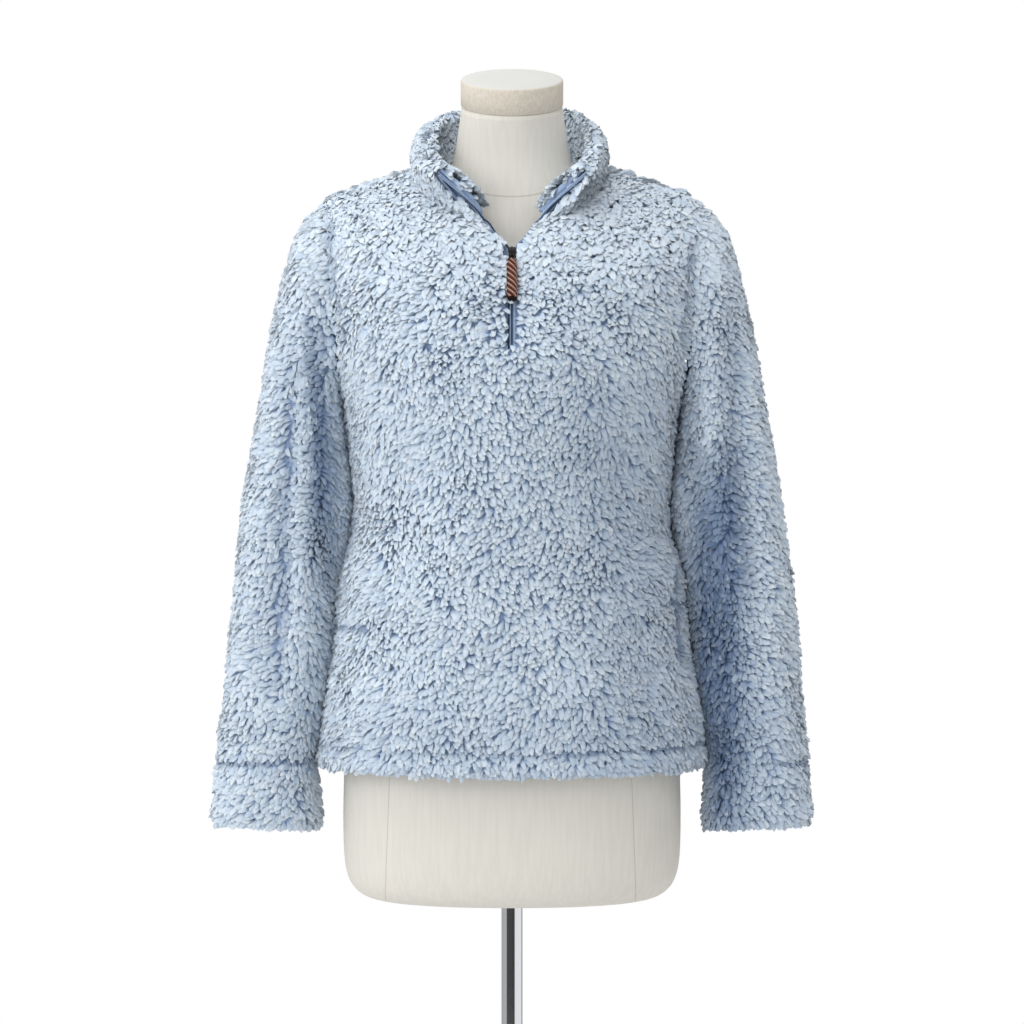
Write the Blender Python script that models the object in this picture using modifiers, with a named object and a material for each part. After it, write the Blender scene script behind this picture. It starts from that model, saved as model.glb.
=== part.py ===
"""A high-pile fleece quarter-zip jacket, worn by a limbless dress form on a chrome pole.

Metres, +Z up, the front faces -Y and the floor is z = 0. The origin is the centre of the
base plate's underside. Left and right are the wearer's, so the left sleeve is at +X.
Each cloth wall is a grid of outer points and a grid of inner points one pile depth behind.
"""

import math

import bmesh
import bpy
import numpy as np
from mathutils import Matrix, Vector

# Clearance between hard pieces
FIT_GAP = 0.0003

# Cloth
PILE = 0.009
SEAM_GAP = 0.0004
SLEEVE_SEAM = 0.0006
BODY_CORNER = 0.90

# Rows of the body from the hem up to the neckline. The edge is the side seam up to the
# armpit, the armhole up to the shoulder point, and then the shoulder seam.
BODY_COLUMNS = (
    "edge_x", "edge_z", "front_edge_y", "back_edge_y", "front_y", "front_z", "back_y", "back_z",
    "front_turn", "back_turn",
)
BODY_ROWS = (
    (0.2000, 0.552, 0.000, 0.000, -0.1470, 0.547, 0.1400, 0.549, 90, 90),
    (0.2040, 0.564, 0.000, 0.000, -0.1500, 0.560, 0.1430, 0.561, 90, 90),
    (0.2005, 0.581, 0.000, 0.000, -0.1465, 0.577, 0.1395, 0.578, 90, 90),
    (0.1970, 0.614, 0.000, 0.000, -0.1480, 0.612, 0.1380, 0.612, 90, 90),
    (0.1866, 0.673, 0.000, 0.000, -0.1465, 0.672, 0.1330, 0.672, 90, 90),
    (0.1830, 0.715, 0.000, 0.000, -0.1450, 0.715, 0.1270, 0.715, 90, 90),
    (0.1776, 0.759, 0.000, 0.000, -0.1435, 0.760, 0.1200, 0.759, 90, 90),
    (0.1665, 0.800, 0.000, 0.000, -0.1430, 0.802, 0.1150, 0.800, 90, 90),
    (0.1645, 0.832, 0.000, 0.000, -0.1450, 0.836, 0.1130, 0.832, 90, 90),
    (0.1680, 0.864, 0.000, 0.000, -0.1490, 0.870, 0.1150, 0.864, 90, 90),
    (0.1735, 0.906, 0.000, 0.000, -0.1550, 0.914, 0.1200, 0.906, 90, 90),
    (0.1765, 0.925, 0.000, 0.000, -0.1570, 0.938, 0.1230, 0.930, 90, 90),
    (0.1800, 0.948, -0.034, 0.032, -0.1565, 0.965, 0.1255, 0.962, 82, 82),
    (0.1850, 1.003, -0.058, 0.056, -0.1490, 1.003, 0.1280, 1.005, 72, 70),
    (0.1890, 1.072, -0.054, 0.054, -0.1375, 1.038, 0.1250, 1.062, 64, 62),
    (0.1915, 1.122, -0.033, 0.034, -0.1270, 1.063, 0.1180, 1.108, 66, 64),
    (0.1940, 1.150, 0.000, 0.000, -0.1180, 1.083, 0.1100, 1.138, 72, 70),
    (0.1500, 1.167, 0.000, 0.000, -0.1075, 1.101, 0.0960, 1.166, 82, 80),
    (0.1040, 1.181, 0.000, 0.000, -0.0970, 1.117, 0.0800, 1.188, 90, 90),
)
ARMPIT_ROW = 11
SHOULDER_ROW = 16
NECK_ROW = 18
BODY_STEPS = (1, 1, 1, 2, 1, 1, 2, 1, 1, 1, 1, 2, 3, 3, 2, 2, 2, 2)
FRONT_COLUMNS = 10
BACK_COLUMNS = 9

# The zip opening: half the gap between the front edges at each body row it runs through
ZIP_FOOT_ROW = 12.8
TAPE_FOOT_ROW = 12.2
SLIDER_ROW = 16.3
OPENING_ROWS = (12.8, 13.0, 15.8, 16.3, 16.7, 17.2, 17.6, 18.0)
OPENING_HALF = (0.0046, 0.0046, 0.0046, 0.0058, 0.0085, 0.0145, 0.0215, 0.0315)
EDGE_SINK = 0.0040
EDGE_SINK_WIDTH = 0.007

# Soft drape folds of the body: share of the way from the middle to the edge, sign for the
# side, depth (a ridge is negative), half width as a share, first and last row
FOLD_COLUMNS = ("panel", "share", "side", "depth", "width", "first", "last", "lean")
BODY_FOLDS = (
    ("front", 0.50, -1, 0.0055, 0.10, 2.5, 11.5, 0.12),
    ("front", 0.66, -1, -0.0022, 0.08, 3.0, 12.5, 0.12),
    ("front", 0.54, 1, 0.0045, 0.10, 3.5, 11.0, 0.10),
    ("front", 0.74, 1, 0.0024, 0.07, 2.5, 10.0, 0.08),
    ("front", 0.55, 1, 0.0032, 0.12, 15.0, 18.0, -0.10),
    ("front", 0.16, -1, -0.0020, 0.12, 2.5, 9.0, 0.04),
    ("back", 0.30, -1, 0.0065, 0.11, 3.0, 12.0, 0.10),
    ("back", 0.52, -1, -0.0030, 0.09, 3.5, 11.0, 0.10),
    ("back", 0.26, 1, 0.0055, 0.11, 4.0, 11.5, 0.08),
    ("back", 0.62, 1, 0.0036, 0.09, 3.0, 12.5, 0.12),
    ("back", 0.00, 1, -0.0024, 0.13, 3.0, 9.5, 0.00),
)

# Rings of a sleeve after the armhole, from the shoulder down. Outer and inner are the ring's
# points furthest from and nearest to the body.
SLEEVE_COLUMNS = ("outer_x", "outer_z", "inner_x", "inner_z", "half_depth", "centre_y")
SLEEVE_ROWS = (
    (0.1946, 1.1500, 0.1778, 0.9255, 0.0580, 0.000),
    (0.2200, 1.1235, 0.1774, 0.9180, 0.0600, 0.000),
    (0.2400, 1.0680, 0.1758, 0.9080, 0.0625, 0.001),
    (0.2530, 1.0170, 0.1740, 0.8960, 0.0635, 0.002),
    (0.2620, 0.9640, 0.1722, 0.8820, 0.0640, 0.002),
    (0.2714, 0.9110, 0.1702, 0.8650, 0.0640, 0.001),
    (0.2800, 0.8580, 0.1665, 0.8320, 0.0630, 0.000),
    (0.2870, 0.8050, 0.1688, 0.7960, 0.0615, -0.002),
    (0.2930, 0.7530, 0.1802, 0.7530, 0.0590, -0.004),
    (0.2985, 0.7020, 0.1858, 0.7050, 0.0560, -0.007),
    (0.3035, 0.6500, 0.1916, 0.6550, 0.0520, -0.010),
    (0.3080, 0.6020, 0.2002, 0.6060, 0.0480, -0.013),
    (0.3115, 0.5660, 0.2068, 0.5660, 0.0440, -0.015),
    (0.3120, 0.5400, 0.2060, 0.5380, 0.0420, -0.017),
    (0.3155, 0.5080, 0.2040, 0.5040, 0.0425, -0.018),
    (0.3150, 0.4900, 0.2042, 0.4860, 0.0410, -0.019),
)
SLEEVE_STEPS = (1, 2, 2, 1, 1, 1, 2, 1, 1, 2, 1, 1, 1, 1, 1)
SLEEVE_CORNER = 0.95
CUFF_STITCH_ROW = 12.4
CUFF_STITCH_DEPTH = 0.0030

# Long folds of the sleeves: degrees round from the outer side (90 is the front), depth,
# half width in degrees, first and last ring, degrees of drift from first to last
SLEEVE_FOLD_COLUMNS = ("sleeve", "angle", "depth", "width", "first", "last", "drift")
SLEEVE_FOLDS = (
    ("right", 70, 0.0100, 18, 2.5, 11.5, 20),
    ("right", 108, -0.0040, 13, 3.0, 11.0, 14),
    ("right", 138, 0.0060, 12, 2.5, 10.0, 8),
    ("right", 262, 0.0085, 18, 3.0, 11.5, -10),
    ("right", 225, -0.0030, 14, 3.5, 11.0, -6),
    ("left", 60, 0.0090, 17, 2.0, 9.5, 14),
    ("left", 94, -0.0042, 13, 2.0, 10.5, 10),
    ("left", 124, 0.0085, 16, 3.0, 11.0, 6),
    ("left", 284, 0.0080, 18, 3.0, 11.0, -14),
    ("left", 245, -0.0032, 13, 3.5, 10.5, -8),
)

# Collar: top edge of its outer face, by degrees round from the front
COLLAR_COLUMNS = ("angle", "top_x", "top_y", "top_z", "bulge")
COLLAR_ROWS = (
    (20, 0.0850, -0.0980, 1.1610, 0.002),
    (45, 0.0950, -0.0740, 1.1780, 0.004),
    (70, 0.0975, -0.0380, 1.2030, 0.006),
    (95, 0.0965, 0.0030, 1.2260, 0.006),
    (125, 0.0845, 0.0480, 1.2430, 0.006),
    (155, 0.0500, 0.0790, 1.2540, 0.005),
    (180, 0.0000, 0.0880, 1.2570, 0.004),
)
COLLAR_HEIGHTS = (0.0, 0.24, 0.50, 0.78, 0.94, 1.0)
COLLAR_ROUNDING = (0.0, 0.0, 0.0, 0.0004, 0.0026, 0.0062)
COLLAR_SEAM = 0.0012
COLLAR_TUCK = 0.008
FACING_GAP = 0.0017
FACING_SPILL = 0.0050
FACING_OVERHANG = 0.0035
TAPE_SLOT = 0.0042

# Zip
TAPE_WIDTH = 0.0105
TAPE_THICK = 0.0012
TAPE_SHOW = 0.0036
TAPE_SHOW_AT = (0.0046, 0.0058, 0.0100)
TAPE_GAP = 0.0003
TAPE_BEHIND = 0.0018
TAPE_HEIGHTS = (0.24, 0.50, 0.78, 0.94)
SLIDER_WIDTH = 0.0088
SLIDER_HEIGHT = 0.0120
SLIDER_THICK = 0.0046
BRIDGE_REACH = 0.0042
BRIDGE_LENGTH = 0.0084
BRIDGE_WIRE = 0.0014
LINK_WIRE = 0.0012
LINK_WIDTH = 0.0060
LINK_DROP = 0.0080
GRIP_LENGTH = 0.0480
GRIP_RADIUS = 0.0050
GRIP_STAND_OFF = 0.0012
GRIP_LOBE = 0.0007
GRIP_STRANDS = 5
GRIP_PITCH = 0.031
GRIP_AROUND = 20
GRIP_RINGS = 12

# Dress form: distance behind the cloth's inner face at each body row, at the side, front
# and back, and then the hips below the hem and the neck above the collar
CLEAR_COLUMNS = ("row", "side", "front", "back")
FORM_CLEARANCE = (
    (0.0, 0.0120, 0.0190, 0.0140),
    (3.0, 0.0080, 0.0120, 0.0110),
    (5.0, 0.0080, 0.0120, 0.0110),
    (7.0, 0.0090, 0.0130, 0.0110),
    (9.0, 0.0090, 0.0110, 0.0110),
    (11.0, 0.0080, 0.0060, 0.0060),
    (12.0, 0.0100, 0.0040, 0.0030),
    (14.0, 0.0080, 0.0070, 0.0020),
    (15.0, 0.0050, 0.0110, 0.0020),
    (16.0, 0.0040, 0.0165, 0.0040),
    (16.6, 0.0022, 0.0200, 0.0040),
    (17.0, 0.0022, 0.0225, 0.0060),
    (17.5, 0.0070, 0.0250, 0.0120),
    (18.0, 0.0170, 0.0275, 0.0200),
)
HIP_COLUMNS = ("half_width", "front_y", "back_y", "z")
HIP_ROWS = (
    (0.1000, -0.0640, 0.0640, 0.4090),
    (0.1430, -0.0925, 0.0935, 0.4100),
    (0.1615, -0.1050, 0.1070, 0.4155),
    (0.1735, -0.1135, 0.1160, 0.4280),
    (0.1790, -0.1175, 0.1200, 0.4480),
    (0.1800, -0.1185, 0.1210, 0.4820),
    (0.1800, -0.1185, 0.1200, 0.5200),
)
NECK_COLUMNS = ("half_width", "centre_y", "half_depth", "z")
NECK_ROWS = (
    (0.0690, -0.0010, 0.0590, 1.1740),
    (0.0610, -0.0040, 0.0555, 1.1960),
    (0.0570, -0.0085, 0.0535, 1.2220),
    (0.0535, -0.0150, 0.0515, 1.2480),
)
FORM_COLUMNS = 15
FORM_SAMPLES = 60
FORM_ROWS = (
    0, 2, 4, 5, 6, 7, 8, 9, 10, 11, 11.7, 12.4, 13, 13.6, 14.2, 15, 15.6, 16, 16.4, 16.8, 17.2, 17.6, 18,
)
CAP_TILT = math.radians(20)
CAP_RADIUS = 0.0540
CAP_DEPTH_SHARE = 0.97
CAP_THICK = 0.0240
CAP_ROUND = 0.0020

# Stand
POLE_RADIUS = 0.0112
BASE_RADIUS = 0.160
BASE_THICK = 0.010
HUB_RADIUS = 0.020
HUB_TOP = 0.032
STAND_EDGE = 0.003

SHARP_ANGLE = math.radians(50)
COLOURS = {
    "fleece": (0.60, 0.72, 0.86),
    "zip_tape": (0.20, 0.32, 0.55),
    "dark_metal": (0.10, 0.09, 0.09),
    "pull_cord": (0.24, 0.10, 0.06),
    "linen": (0.80, 0.78, 0.72),
    "cap_linen": (0.72, 0.67, 0.58),
    "chrome": (0.75, 0.76, 0.78),
}


# Scene and materials


def clear_scene():
    for obj in list(bpy.data.objects):
        bpy.data.objects.remove(obj, do_unlink=True)


def make_collection(name):
    made = bpy.data.collections.new(name)
    bpy.context.scene.collection.children.link(made)
    return made


def material(name, roughness, metallic=0.0):
    mat = bpy.data.materials.get(name) or bpy.data.materials.new(name)
    mat.use_nodes = True
    shader = mat.node_tree.nodes["Principled BSDF"]
    shader.inputs["Base Color"].default_value = (*COLOURS[name], 1.0)
    shader.inputs["Roughness"].default_value = roughness
    shader.inputs["Metallic"].default_value = metallic
    return mat


def add_object(name, data, mat, parts):
    obj = bpy.data.objects.new(name, data)
    obj.data.materials.append(mat)
    parts.objects.link(obj)
    return obj


def add_mesh(name, points, faces, mat, parts):
    """A closed mesh with outward faces, shaded smooth but for its sharp edges."""
    mesh = bpy.data.meshes.new(name)
    mesh.from_pydata([tuple(p) for p in points], [], [tuple(f) for f in faces])
    mesh.validate()
    tidy = bmesh.new()
    tidy.from_mesh(mesh)
    bmesh.ops.recalc_face_normals(tidy, faces=tidy.faces)
    tidy.to_mesh(mesh)
    tidy.free()
    mesh.shade_smooth()
    mesh.set_sharp_from_angle(angle=SHARP_ANGLE)
    return add_object(name, mesh, mat, parts)


# Curves and grids


def glide(places, values, at):
    """Smooth interpolation that doesn't overshoot: cubic, with limited slopes."""
    x, y = np.asarray(places, float), np.asarray(values, float)
    at = np.clip(np.asarray(at, float), x[0], x[-1])
    width = np.diff(x)
    slope = np.diff(y) / width
    tangent = np.zeros_like(y)
    same = slope[:-1] * slope[1:] > 0
    mean = 2 * slope[:-1] * slope[1:] / np.where(same, slope[:-1] + slope[1:], 1)
    tangent[1:-1] = np.where(same, mean, 0)
    tangent[0], tangent[-1] = slope[0], slope[-1]
    i = np.clip(np.searchsorted(x, at, side="right") - 1, 0, len(width) - 1)
    t = (at - x[i]) / width[i]
    start = (1 + 2 * t) * (1 - t) ** 2 * y[i] + t * (1 - t) ** 2 * width[i] * tangent[i]
    end = t * t * (3 - 2 * t) * y[i + 1] + t * t * (t - 1) * width[i] * tangent[i + 1]
    return start + end


def column(rows, columns, name):
    return [row[columns.index(name)] for row in rows]


def reader(rows, columns, places=None):
    """A function that reads any column of a table at a place between its rows."""
    where = range(len(rows)) if places is None else places

    def read(name, at):
        return glide(list(where), column(rows, columns, name), at)

    return read


def spaced_rows(steps):
    """Row numbers with the given number of steps in each stretch of a table."""
    at = [first + k / n for first, n in enumerate(steps) for k in range(n)]
    return np.array(at + [len(steps)])


def bell(distance, width):
    return np.exp(-((distance / width) ** 2))


def envelope(at, first, last):
    """Rises from 0 at first to 1 in the middle stretch and back to 0 at last."""
    ramp = 0.3 * (last - first)
    rise = np.clip((at - first) / ramp, 0, 1)
    fall = np.clip((last - at) / ramp, 0, 1)
    ease = rise * rise * (3 - 2 * rise)
    return ease * fall * fall * (3 - 2 * fall)


def grid_normals(grid, closed):
    """Unit normals of a grid of points, rows by columns, as the cross of its two directions."""
    along = np.gradient(grid, axis=0)
    if closed:
        across = (np.roll(grid, -1, axis=1) - np.roll(grid, 1, axis=1)) / 2
    else:
        across = np.gradient(grid, axis=1)
    normal = np.cross(across, along)
    return normal / np.linalg.norm(normal, axis=2, keepdims=True)


def solid_from_grids(outer, inner, closed=False, kept=None):
    """Points and faces of the closed wall between two grids of the same shape."""
    rows, cols = outer.shape[:2]
    points = np.concatenate([outer.reshape(-1, 3), inner.reshape(-1, 3)])
    shift = rows * cols
    faces, edges = [], {}
    for r in range(rows - 1):
        for c in range(cols if closed else cols - 1):
            if kept is not None and not kept[r, c]:
                continue
            d = (c + 1) % cols
            quad = (r * cols + c, r * cols + d, (r + 1) * cols + d, (r + 1) * cols + c)
            faces.append(quad)
            faces.append(tuple(shift + q for q in reversed(quad)))
            for a, b in zip(quad, quad[1:] + quad[:1]):
                edges[(a, b)] = True
    for a, b in edges:
        if (b, a) not in edges:
            faces.append((b, a, shift + a, shift + b))
    used = sorted({i for face in faces for i in face})
    place = {old: new for new, old in enumerate(used)}
    return points[used], [tuple(place[i] for i in face) for face in faces]


# Body of the jacket


body = reader(BODY_ROWS, BODY_COLUMNS)


def fold_depth(panel, row, share, side):
    """How far the drape folds push the cloth in, for arrays of rows and shares."""
    depth = np.zeros(np.broadcast(row, share).shape)
    for fold in BODY_FOLDS:
        f = dict(zip(FOLD_COLUMNS, fold))
        if f["panel"] != panel:
            continue
        centre = f["share"] - f["lean"] * (row - f["first"]) / (f["last"] - f["first"])
        away = share * side - centre * f["side"]
        depth += f["depth"] * bell(away, f["width"]) * envelope(row, f["first"], f["last"])
    return depth


def body_points(panel, row, share, side):
    """Outer face of the body: share runs from 0 at the middle to 1 at the panel's edge."""
    turn = np.radians(body(panel + "_turn", row))
    angle = share * turn
    power = BODY_CORNER
    forward = (1 - np.cos(angle) ** power) / (1 - np.cos(turn) ** power)
    lift = (1 - np.cos(angle)) / (1 - np.cos(turn))
    x = side * body("edge_x", row) * np.sin(angle) ** power / np.sin(turn) ** power
    middle_y, middle_z = body(panel + "_y", row), body(panel + "_z", row)
    y = middle_y + (body(panel + "_edge_y", row) - middle_y) * forward
    z = middle_z + (body("edge_z", row) - middle_z) * lift
    return np.stack(np.broadcast_arrays(x, y, z), axis=-1)


def share_at(row, half_gap):
    """The share at which the front's outer face is half_gap from the middle plane."""
    turn = np.radians(body("front_turn", row))
    sine = np.sin(turn) * (half_gap / body("edge_x", row)) ** (1 / BODY_CORNER)
    return np.arcsin(sine) / turn


def half_gap_at(row):
    return np.interp(row, OPENING_ROWS, OPENING_HALF)


def panel_grids(panel, rows):
    """Outer and inner points of the front or back, from the -X edge to the +X edge."""
    row = rows[:, None]
    if panel == "front":
        start = share_at(row, half_gap_at(row))
        steps = np.linspace(0, 1, FRONT_COLUMNS)[None, :]
    else:
        start = np.zeros_like(row)
        steps = np.linspace(0, 1, BACK_COLUMNS)[None, :]
    share = start + (1 - start) * steps
    halves = []
    for side in (-1, 1):
        half = body_points(panel, row, share, side)
        halves.append((half, fold_depth(panel, row, share, side)))
    (low, low_fold), (high, high_fold) = halves
    skip = 0 if panel == "front" else 1
    outer = np.concatenate([low[:, ::-1], high[:, skip:]], axis=1)
    fold = np.concatenate([low_fold[:, ::-1], high_fold[:, skip:]], axis=1)
    normal = grid_normals(outer, closed=False)
    if panel == "back":
        normal = -normal
    inner = outer - normal * (fold + PILE)[..., None]
    if panel == "front":
        beside_zip = bell(np.abs(outer[..., 0]) - half_gap_at(row), EDGE_SINK_WIDTH)
        fold = fold + EDGE_SINK * beside_zip * np.clip((row - ZIP_FOOT_ROW + 0.5) / 0.4, 0, 1)
    outer = outer - normal * fold[..., None]
    seam = SEAM_GAP / 2 if panel == "back" else -SEAM_GAP / 2
    edge_row = (rows <= ARMPIT_ROW) | (rows >= SHOULDER_ROW)
    for edge in (0, -1):
        outer[:, edge, 1] += seam
        inner[:, edge, 1] = np.where(edge_row, outer[:, edge, 1], inner[:, edge, 1] + seam)
    return outer, inner


def neck_frames(rows):
    """Round the neckline: its points, and the directions through the cloth and up the collar."""
    loops = []
    for panel in ("front", "back"):
        outer, inner = panel_grids(panel, rows)
        loops.append((outer[-1], outer[-1] - outer[-2], outer[-1] - inner[-1]))
    return loops


def collar_line(loops):
    """The neckline as one line: left front edge, left side, back, right side, right edge."""
    (front, front_up, front_out), (back, back_up, back_out) = loops
    half = FRONT_COLUMNS

    def joined(f, b):
        return np.concatenate([f[half:], b[::-1][1:-1], f[:half]])

    line = joined(front, back)
    up = joined(front_up, back_up)
    out = joined(front_out, back_out)
    return line, up, out


def unit(vectors):
    return vectors / np.linalg.norm(vectors, axis=-1, keepdims=True)


def collar_top(angle):
    """Top edge of the collar's outer face at an angle round from the front, on the +X side."""
    read = reader(COLLAR_ROWS, COLLAR_COLUMNS, column(COLLAR_ROWS, COLLAR_COLUMNS, "angle"))
    return np.stack([read(name, angle) for name in ("top_x", "top_y", "top_z")], axis=-1)


def collar_bulge(angle):
    read = reader(COLLAR_ROWS, COLLAR_COLUMNS, column(COLLAR_ROWS, COLLAR_COLUMNS, "angle"))
    return read("bulge", angle)


def collar_frame(rows):
    """Base line, top line, the direction through the cloth, and the seam's direction."""
    base, body_up, body_out = collar_line(neck_frames(rows))
    count = len(base)
    travelled = np.concatenate([[0], np.cumsum(np.linalg.norm(np.diff(base, axis=0), axis=1))])
    share = travelled / travelled[-1]
    first = COLLAR_ROWS[0][0]
    angle = first + (360 - 2 * first) * share
    mirrored = np.where(angle > 180, 360 - angle, angle)
    top = collar_top(mirrored)
    top[:, 0] *= np.where(angle > 180, -1, 1)
    bulge = collar_bulge(mirrored)
    rise = top - base
    tangent = np.gradient(top, axis=0) + np.gradient(base, axis=0)
    out = unit(np.cross(tangent, rise))
    middle = out[count // 2]
    if middle[1] < 0:
        out = -out
    through = unit(unit(out) + unit(body_out))
    sideways = unit(np.gradient(base, axis=0))
    through = unit(through - sideways * np.sum(through * sideways, axis=1, keepdims=True))
    seam_up = unit(np.cross(through, sideways))
    seam_up *= np.sign(np.sum(seam_up * rise, axis=1, keepdims=True))
    return base, top, bulge, out, through, seam_up


def collar_surface(frame, depth, heights, rounding, shift=0.0):
    """A face of the collar, that far behind its outer face, rows from the seam to the top."""
    base, top, bulge, out, through, seam_up = frame
    lines = []
    for height, round_in in zip(heights, rounding):
        arch = 4 * height * (1 - height)
        along = base + seam_up * COLLAR_SEAM + (top - base) * height + out * (bulge * arch)[:, None]
        blend = min(1.0, height / 0.4)
        direction = unit(through * (1 - blend) + out * blend)
        lines.append(along - direction * np.reshape(depth + round_in + shift, (-1, 1)))
    return np.array(lines)


def collar_seam_heights():
    """Heights of the rows where the collar's two layers meet, a little lower at the top."""
    return [h - COLLAR_TUCK * h ** 8 for h in COLLAR_HEIGHTS]


def make_collar(frame, mat, parts):
    """The collar's outer layer, whose top edge rounds inward."""
    flat = [0.0] * len(COLLAR_HEIGHTS)
    outer = collar_surface(frame, 0.0, COLLAR_HEIGHTS, COLLAR_ROUNDING)
    inner = collar_surface(frame, PILE, collar_seam_heights(), flat)
    points, faces = solid_from_grids(outer, inner)
    return add_mesh("collar", points, faces, mat, parts)


def near_zip(count, reach):
    """1 at the two front ends of the collar, falling to 0 over a share of its length."""
    share = np.linspace(0, 1, count)
    ease = np.clip(1 - np.minimum(share, 1 - share) / reach, 0, 1)
    return ease * ease * (3 - 2 * ease)


def make_facing(frame, mat, parts):
    """The collar's inner layer, pile side to the neck; it leaves room for the zip tapes.

    Toward the zip its pile stands fuller and spills over the edge.
    """
    count = len(frame[0])
    flat = [0.0] * len(COLLAR_HEIGHTS)
    slot = FACING_GAP + (TAPE_SLOT - FACING_GAP) * np.minimum(1, 2 * near_zip(count, 0.16))
    fuller = FACING_SPILL * near_zip(count, 0.22)
    rounding = [-r for r in COLLAR_ROUNDING]
    outer = collar_surface(frame, PILE, collar_seam_heights(), flat, slot)
    inner = collar_surface(frame, 2 * PILE, COLLAR_HEIGHTS, rounding, slot + fuller)
    for edge, beside in ((0, 1), (-1, -2)):
        spill = unit(inner[:, edge] - inner[:, beside]) * FACING_OVERHANG
        inner[:, edge] += spill
    points, faces = solid_from_grids(outer, inner)
    return add_mesh("collar_facing", points, faces, mat, parts)


def front_grids(rows, frame):
    """The front's grids, whose last inner row is the collar's, so that the two meet in a seam."""
    outer, inner = panel_grids("front", rows)
    base, through = frame[0], frame[4]
    half = FRONT_COLUMNS
    inner[-1, half:] = base[:half] - through[:half] * PILE
    inner[-1, :half] = base[-half:] - through[-half:] * PILE
    inner[-1, [0, -1], 1] = outer[-1, [0, -1], 1]
    return outer, inner


def make_front(rows, frame, mat, parts):
    """The front in one piece, slit from the neckline down to the foot of the zip."""
    outer, inner = front_grids(rows, frame)
    kept = np.ones((len(rows) - 1, 2 * FRONT_COLUMNS - 1), bool)
    kept[rows[1:] > ZIP_FOOT_ROW, FRONT_COLUMNS - 1] = False
    points, faces = solid_from_grids(outer, inner, kept=kept)
    return add_mesh("front", points, faces, mat, parts)


def make_back(rows, frame, mat, parts):
    outer, inner = panel_grids("back", rows)
    base, through = frame[0], frame[4]
    half = FRONT_COLUMNS
    inner[-1, 1:-1] = (base - through * PILE)[half:-half][::-1]
    inner[-1, [0, -1], 1] = outer[-1, [0, -1], 1]
    points, faces = solid_from_grids(outer[:, ::-1], inner[:, ::-1])
    return add_mesh("back", points, faces, mat, parts)


# Sleeves


sleeve = reader(SLEEVE_ROWS, SLEEVE_COLUMNS)


def armhole_loop(rows, side):
    """The armhole's outer edge on one side, from the shoulder point down the front and up the back."""
    edge = 0 if side < 0 else -1
    picked = (rows >= ARMPIT_ROW) & (rows <= SHOULDER_ROW)
    front = panel_grids("front", rows)[0][picked, edge]
    back = panel_grids("back", rows)[0][picked, edge]
    top = (front[-1] + back[-1]) / 2
    foot = (front[0] + back[0]) / 2
    return np.concatenate([[top], front[::-1][1:-1], [foot], back[1:-1]])


def loop_angles(loop):
    """Degrees round a sleeve ring for each armhole point: 0 at the top, 180 at the armpit."""
    half = len(loop) // 2
    return np.arange(len(loop)) * 180.0 / half


def sleeve_fold(name, ring, angle):
    depth = np.zeros(np.broadcast(ring, angle).shape)
    for fold in SLEEVE_FOLDS:
        f = dict(zip(SLEEVE_FOLD_COLUMNS, fold))
        if f["sleeve"] != name:
            continue
        centre = f["angle"] + f["drift"] * (ring - f["first"]) / (f["last"] - f["first"])
        away = (angle - centre + 180) % 360 - 180
        depth += f["depth"] * bell(away, f["width"]) * envelope(ring, f["first"], f["last"])
    return depth


def sleeve_grids(name, side, rows):
    """Outer and inner points of a sleeve tube, from the armhole to the cuff."""
    loop = armhole_loop(rows, side)
    angle = loop_angles(loop)
    rings = spaced_rows(SLEEVE_STEPS)
    ring, turn = rings[:, None], np.radians(angle)[None, :]
    far = np.stack([side * sleeve("outer_x", ring), 0 * ring, sleeve("outer_z", ring)], axis=-1)
    near = np.stack([side * sleeve("inner_x", ring), 0 * ring, sleeve("inner_z", ring)], axis=-1)
    centre, reach = (far + near) / 2, (far - near) / 2
    cosine, sine = np.cos(turn), np.sin(turn)
    swing = (np.sign(cosine) * np.abs(cosine) ** SLEEVE_CORNER)[..., None]
    depth = np.sign(sine) * np.abs(sine) ** SLEEVE_CORNER * sleeve("half_depth", ring)
    grid = centre + reach * swing
    grid[..., 1] = sleeve("centre_y", ring) - depth
    start = loop + np.array([side * (SLEEVE_SEAM), 0, 0])
    start[len(loop) // 2] = near[0, 0]
    blend = np.clip(1 - ring / 2.0, 0, 1)[..., None] ** 1.5
    grid = grid * (1 - blend) + (grid + (start - grid[0])[None]) * blend
    normal = grid_normals(grid, closed=True) * side
    stitch = CUFF_STITCH_DEPTH * bell(ring - CUFF_STITCH_ROW, 0.35)
    push = sleeve_fold(name, ring, angle[None, :]) + stitch
    outer = grid - normal * push[..., None]
    inner = outer - normal * PILE
    inner[0, :, 0] = side * np.maximum(side * inner[0, :, 0], side * outer[0, :, 0])
    return outer, inner


def make_sleeve(name, side, rows, mat, parts):
    outer, inner = sleeve_grids(name, side, rows)
    points, faces = solid_from_grids(outer, inner, closed=True)
    return add_mesh("sleeve_" + name, points, faces, mat, parts)


# Zip


def tape_bed(side, rows, frame):
    """What a zip tape lies behind: the cloth's inner edge, the next inner column, and outward."""
    outer, inner = front_grids(rows, frame)
    c, step = (FRONT_COLUMNS, 1) if side > 0 else (FRONT_COLUMNS - 1, -1)
    picked = rows > TAPE_FOOT_ROW
    station, inward = (0, 1) if side > 0 else (-1, -2)
    flat = [0.0] * len(TAPE_HEIGHTS)
    face = collar_surface(frame, 0.0, TAPE_HEIGHTS, flat)
    back = collar_surface(frame, PILE, TAPE_HEIGHTS, flat)
    edge = np.concatenate([inner[picked, c], back[:, station]])
    beside = np.concatenate([inner[picked, c + step], back[:, inward]])
    out = np.concatenate([
        unit(outer[picked, c] - inner[picked, c]),
        unit(face[:, station] - back[:, station]),
    ])
    return edge, beside, out


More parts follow.
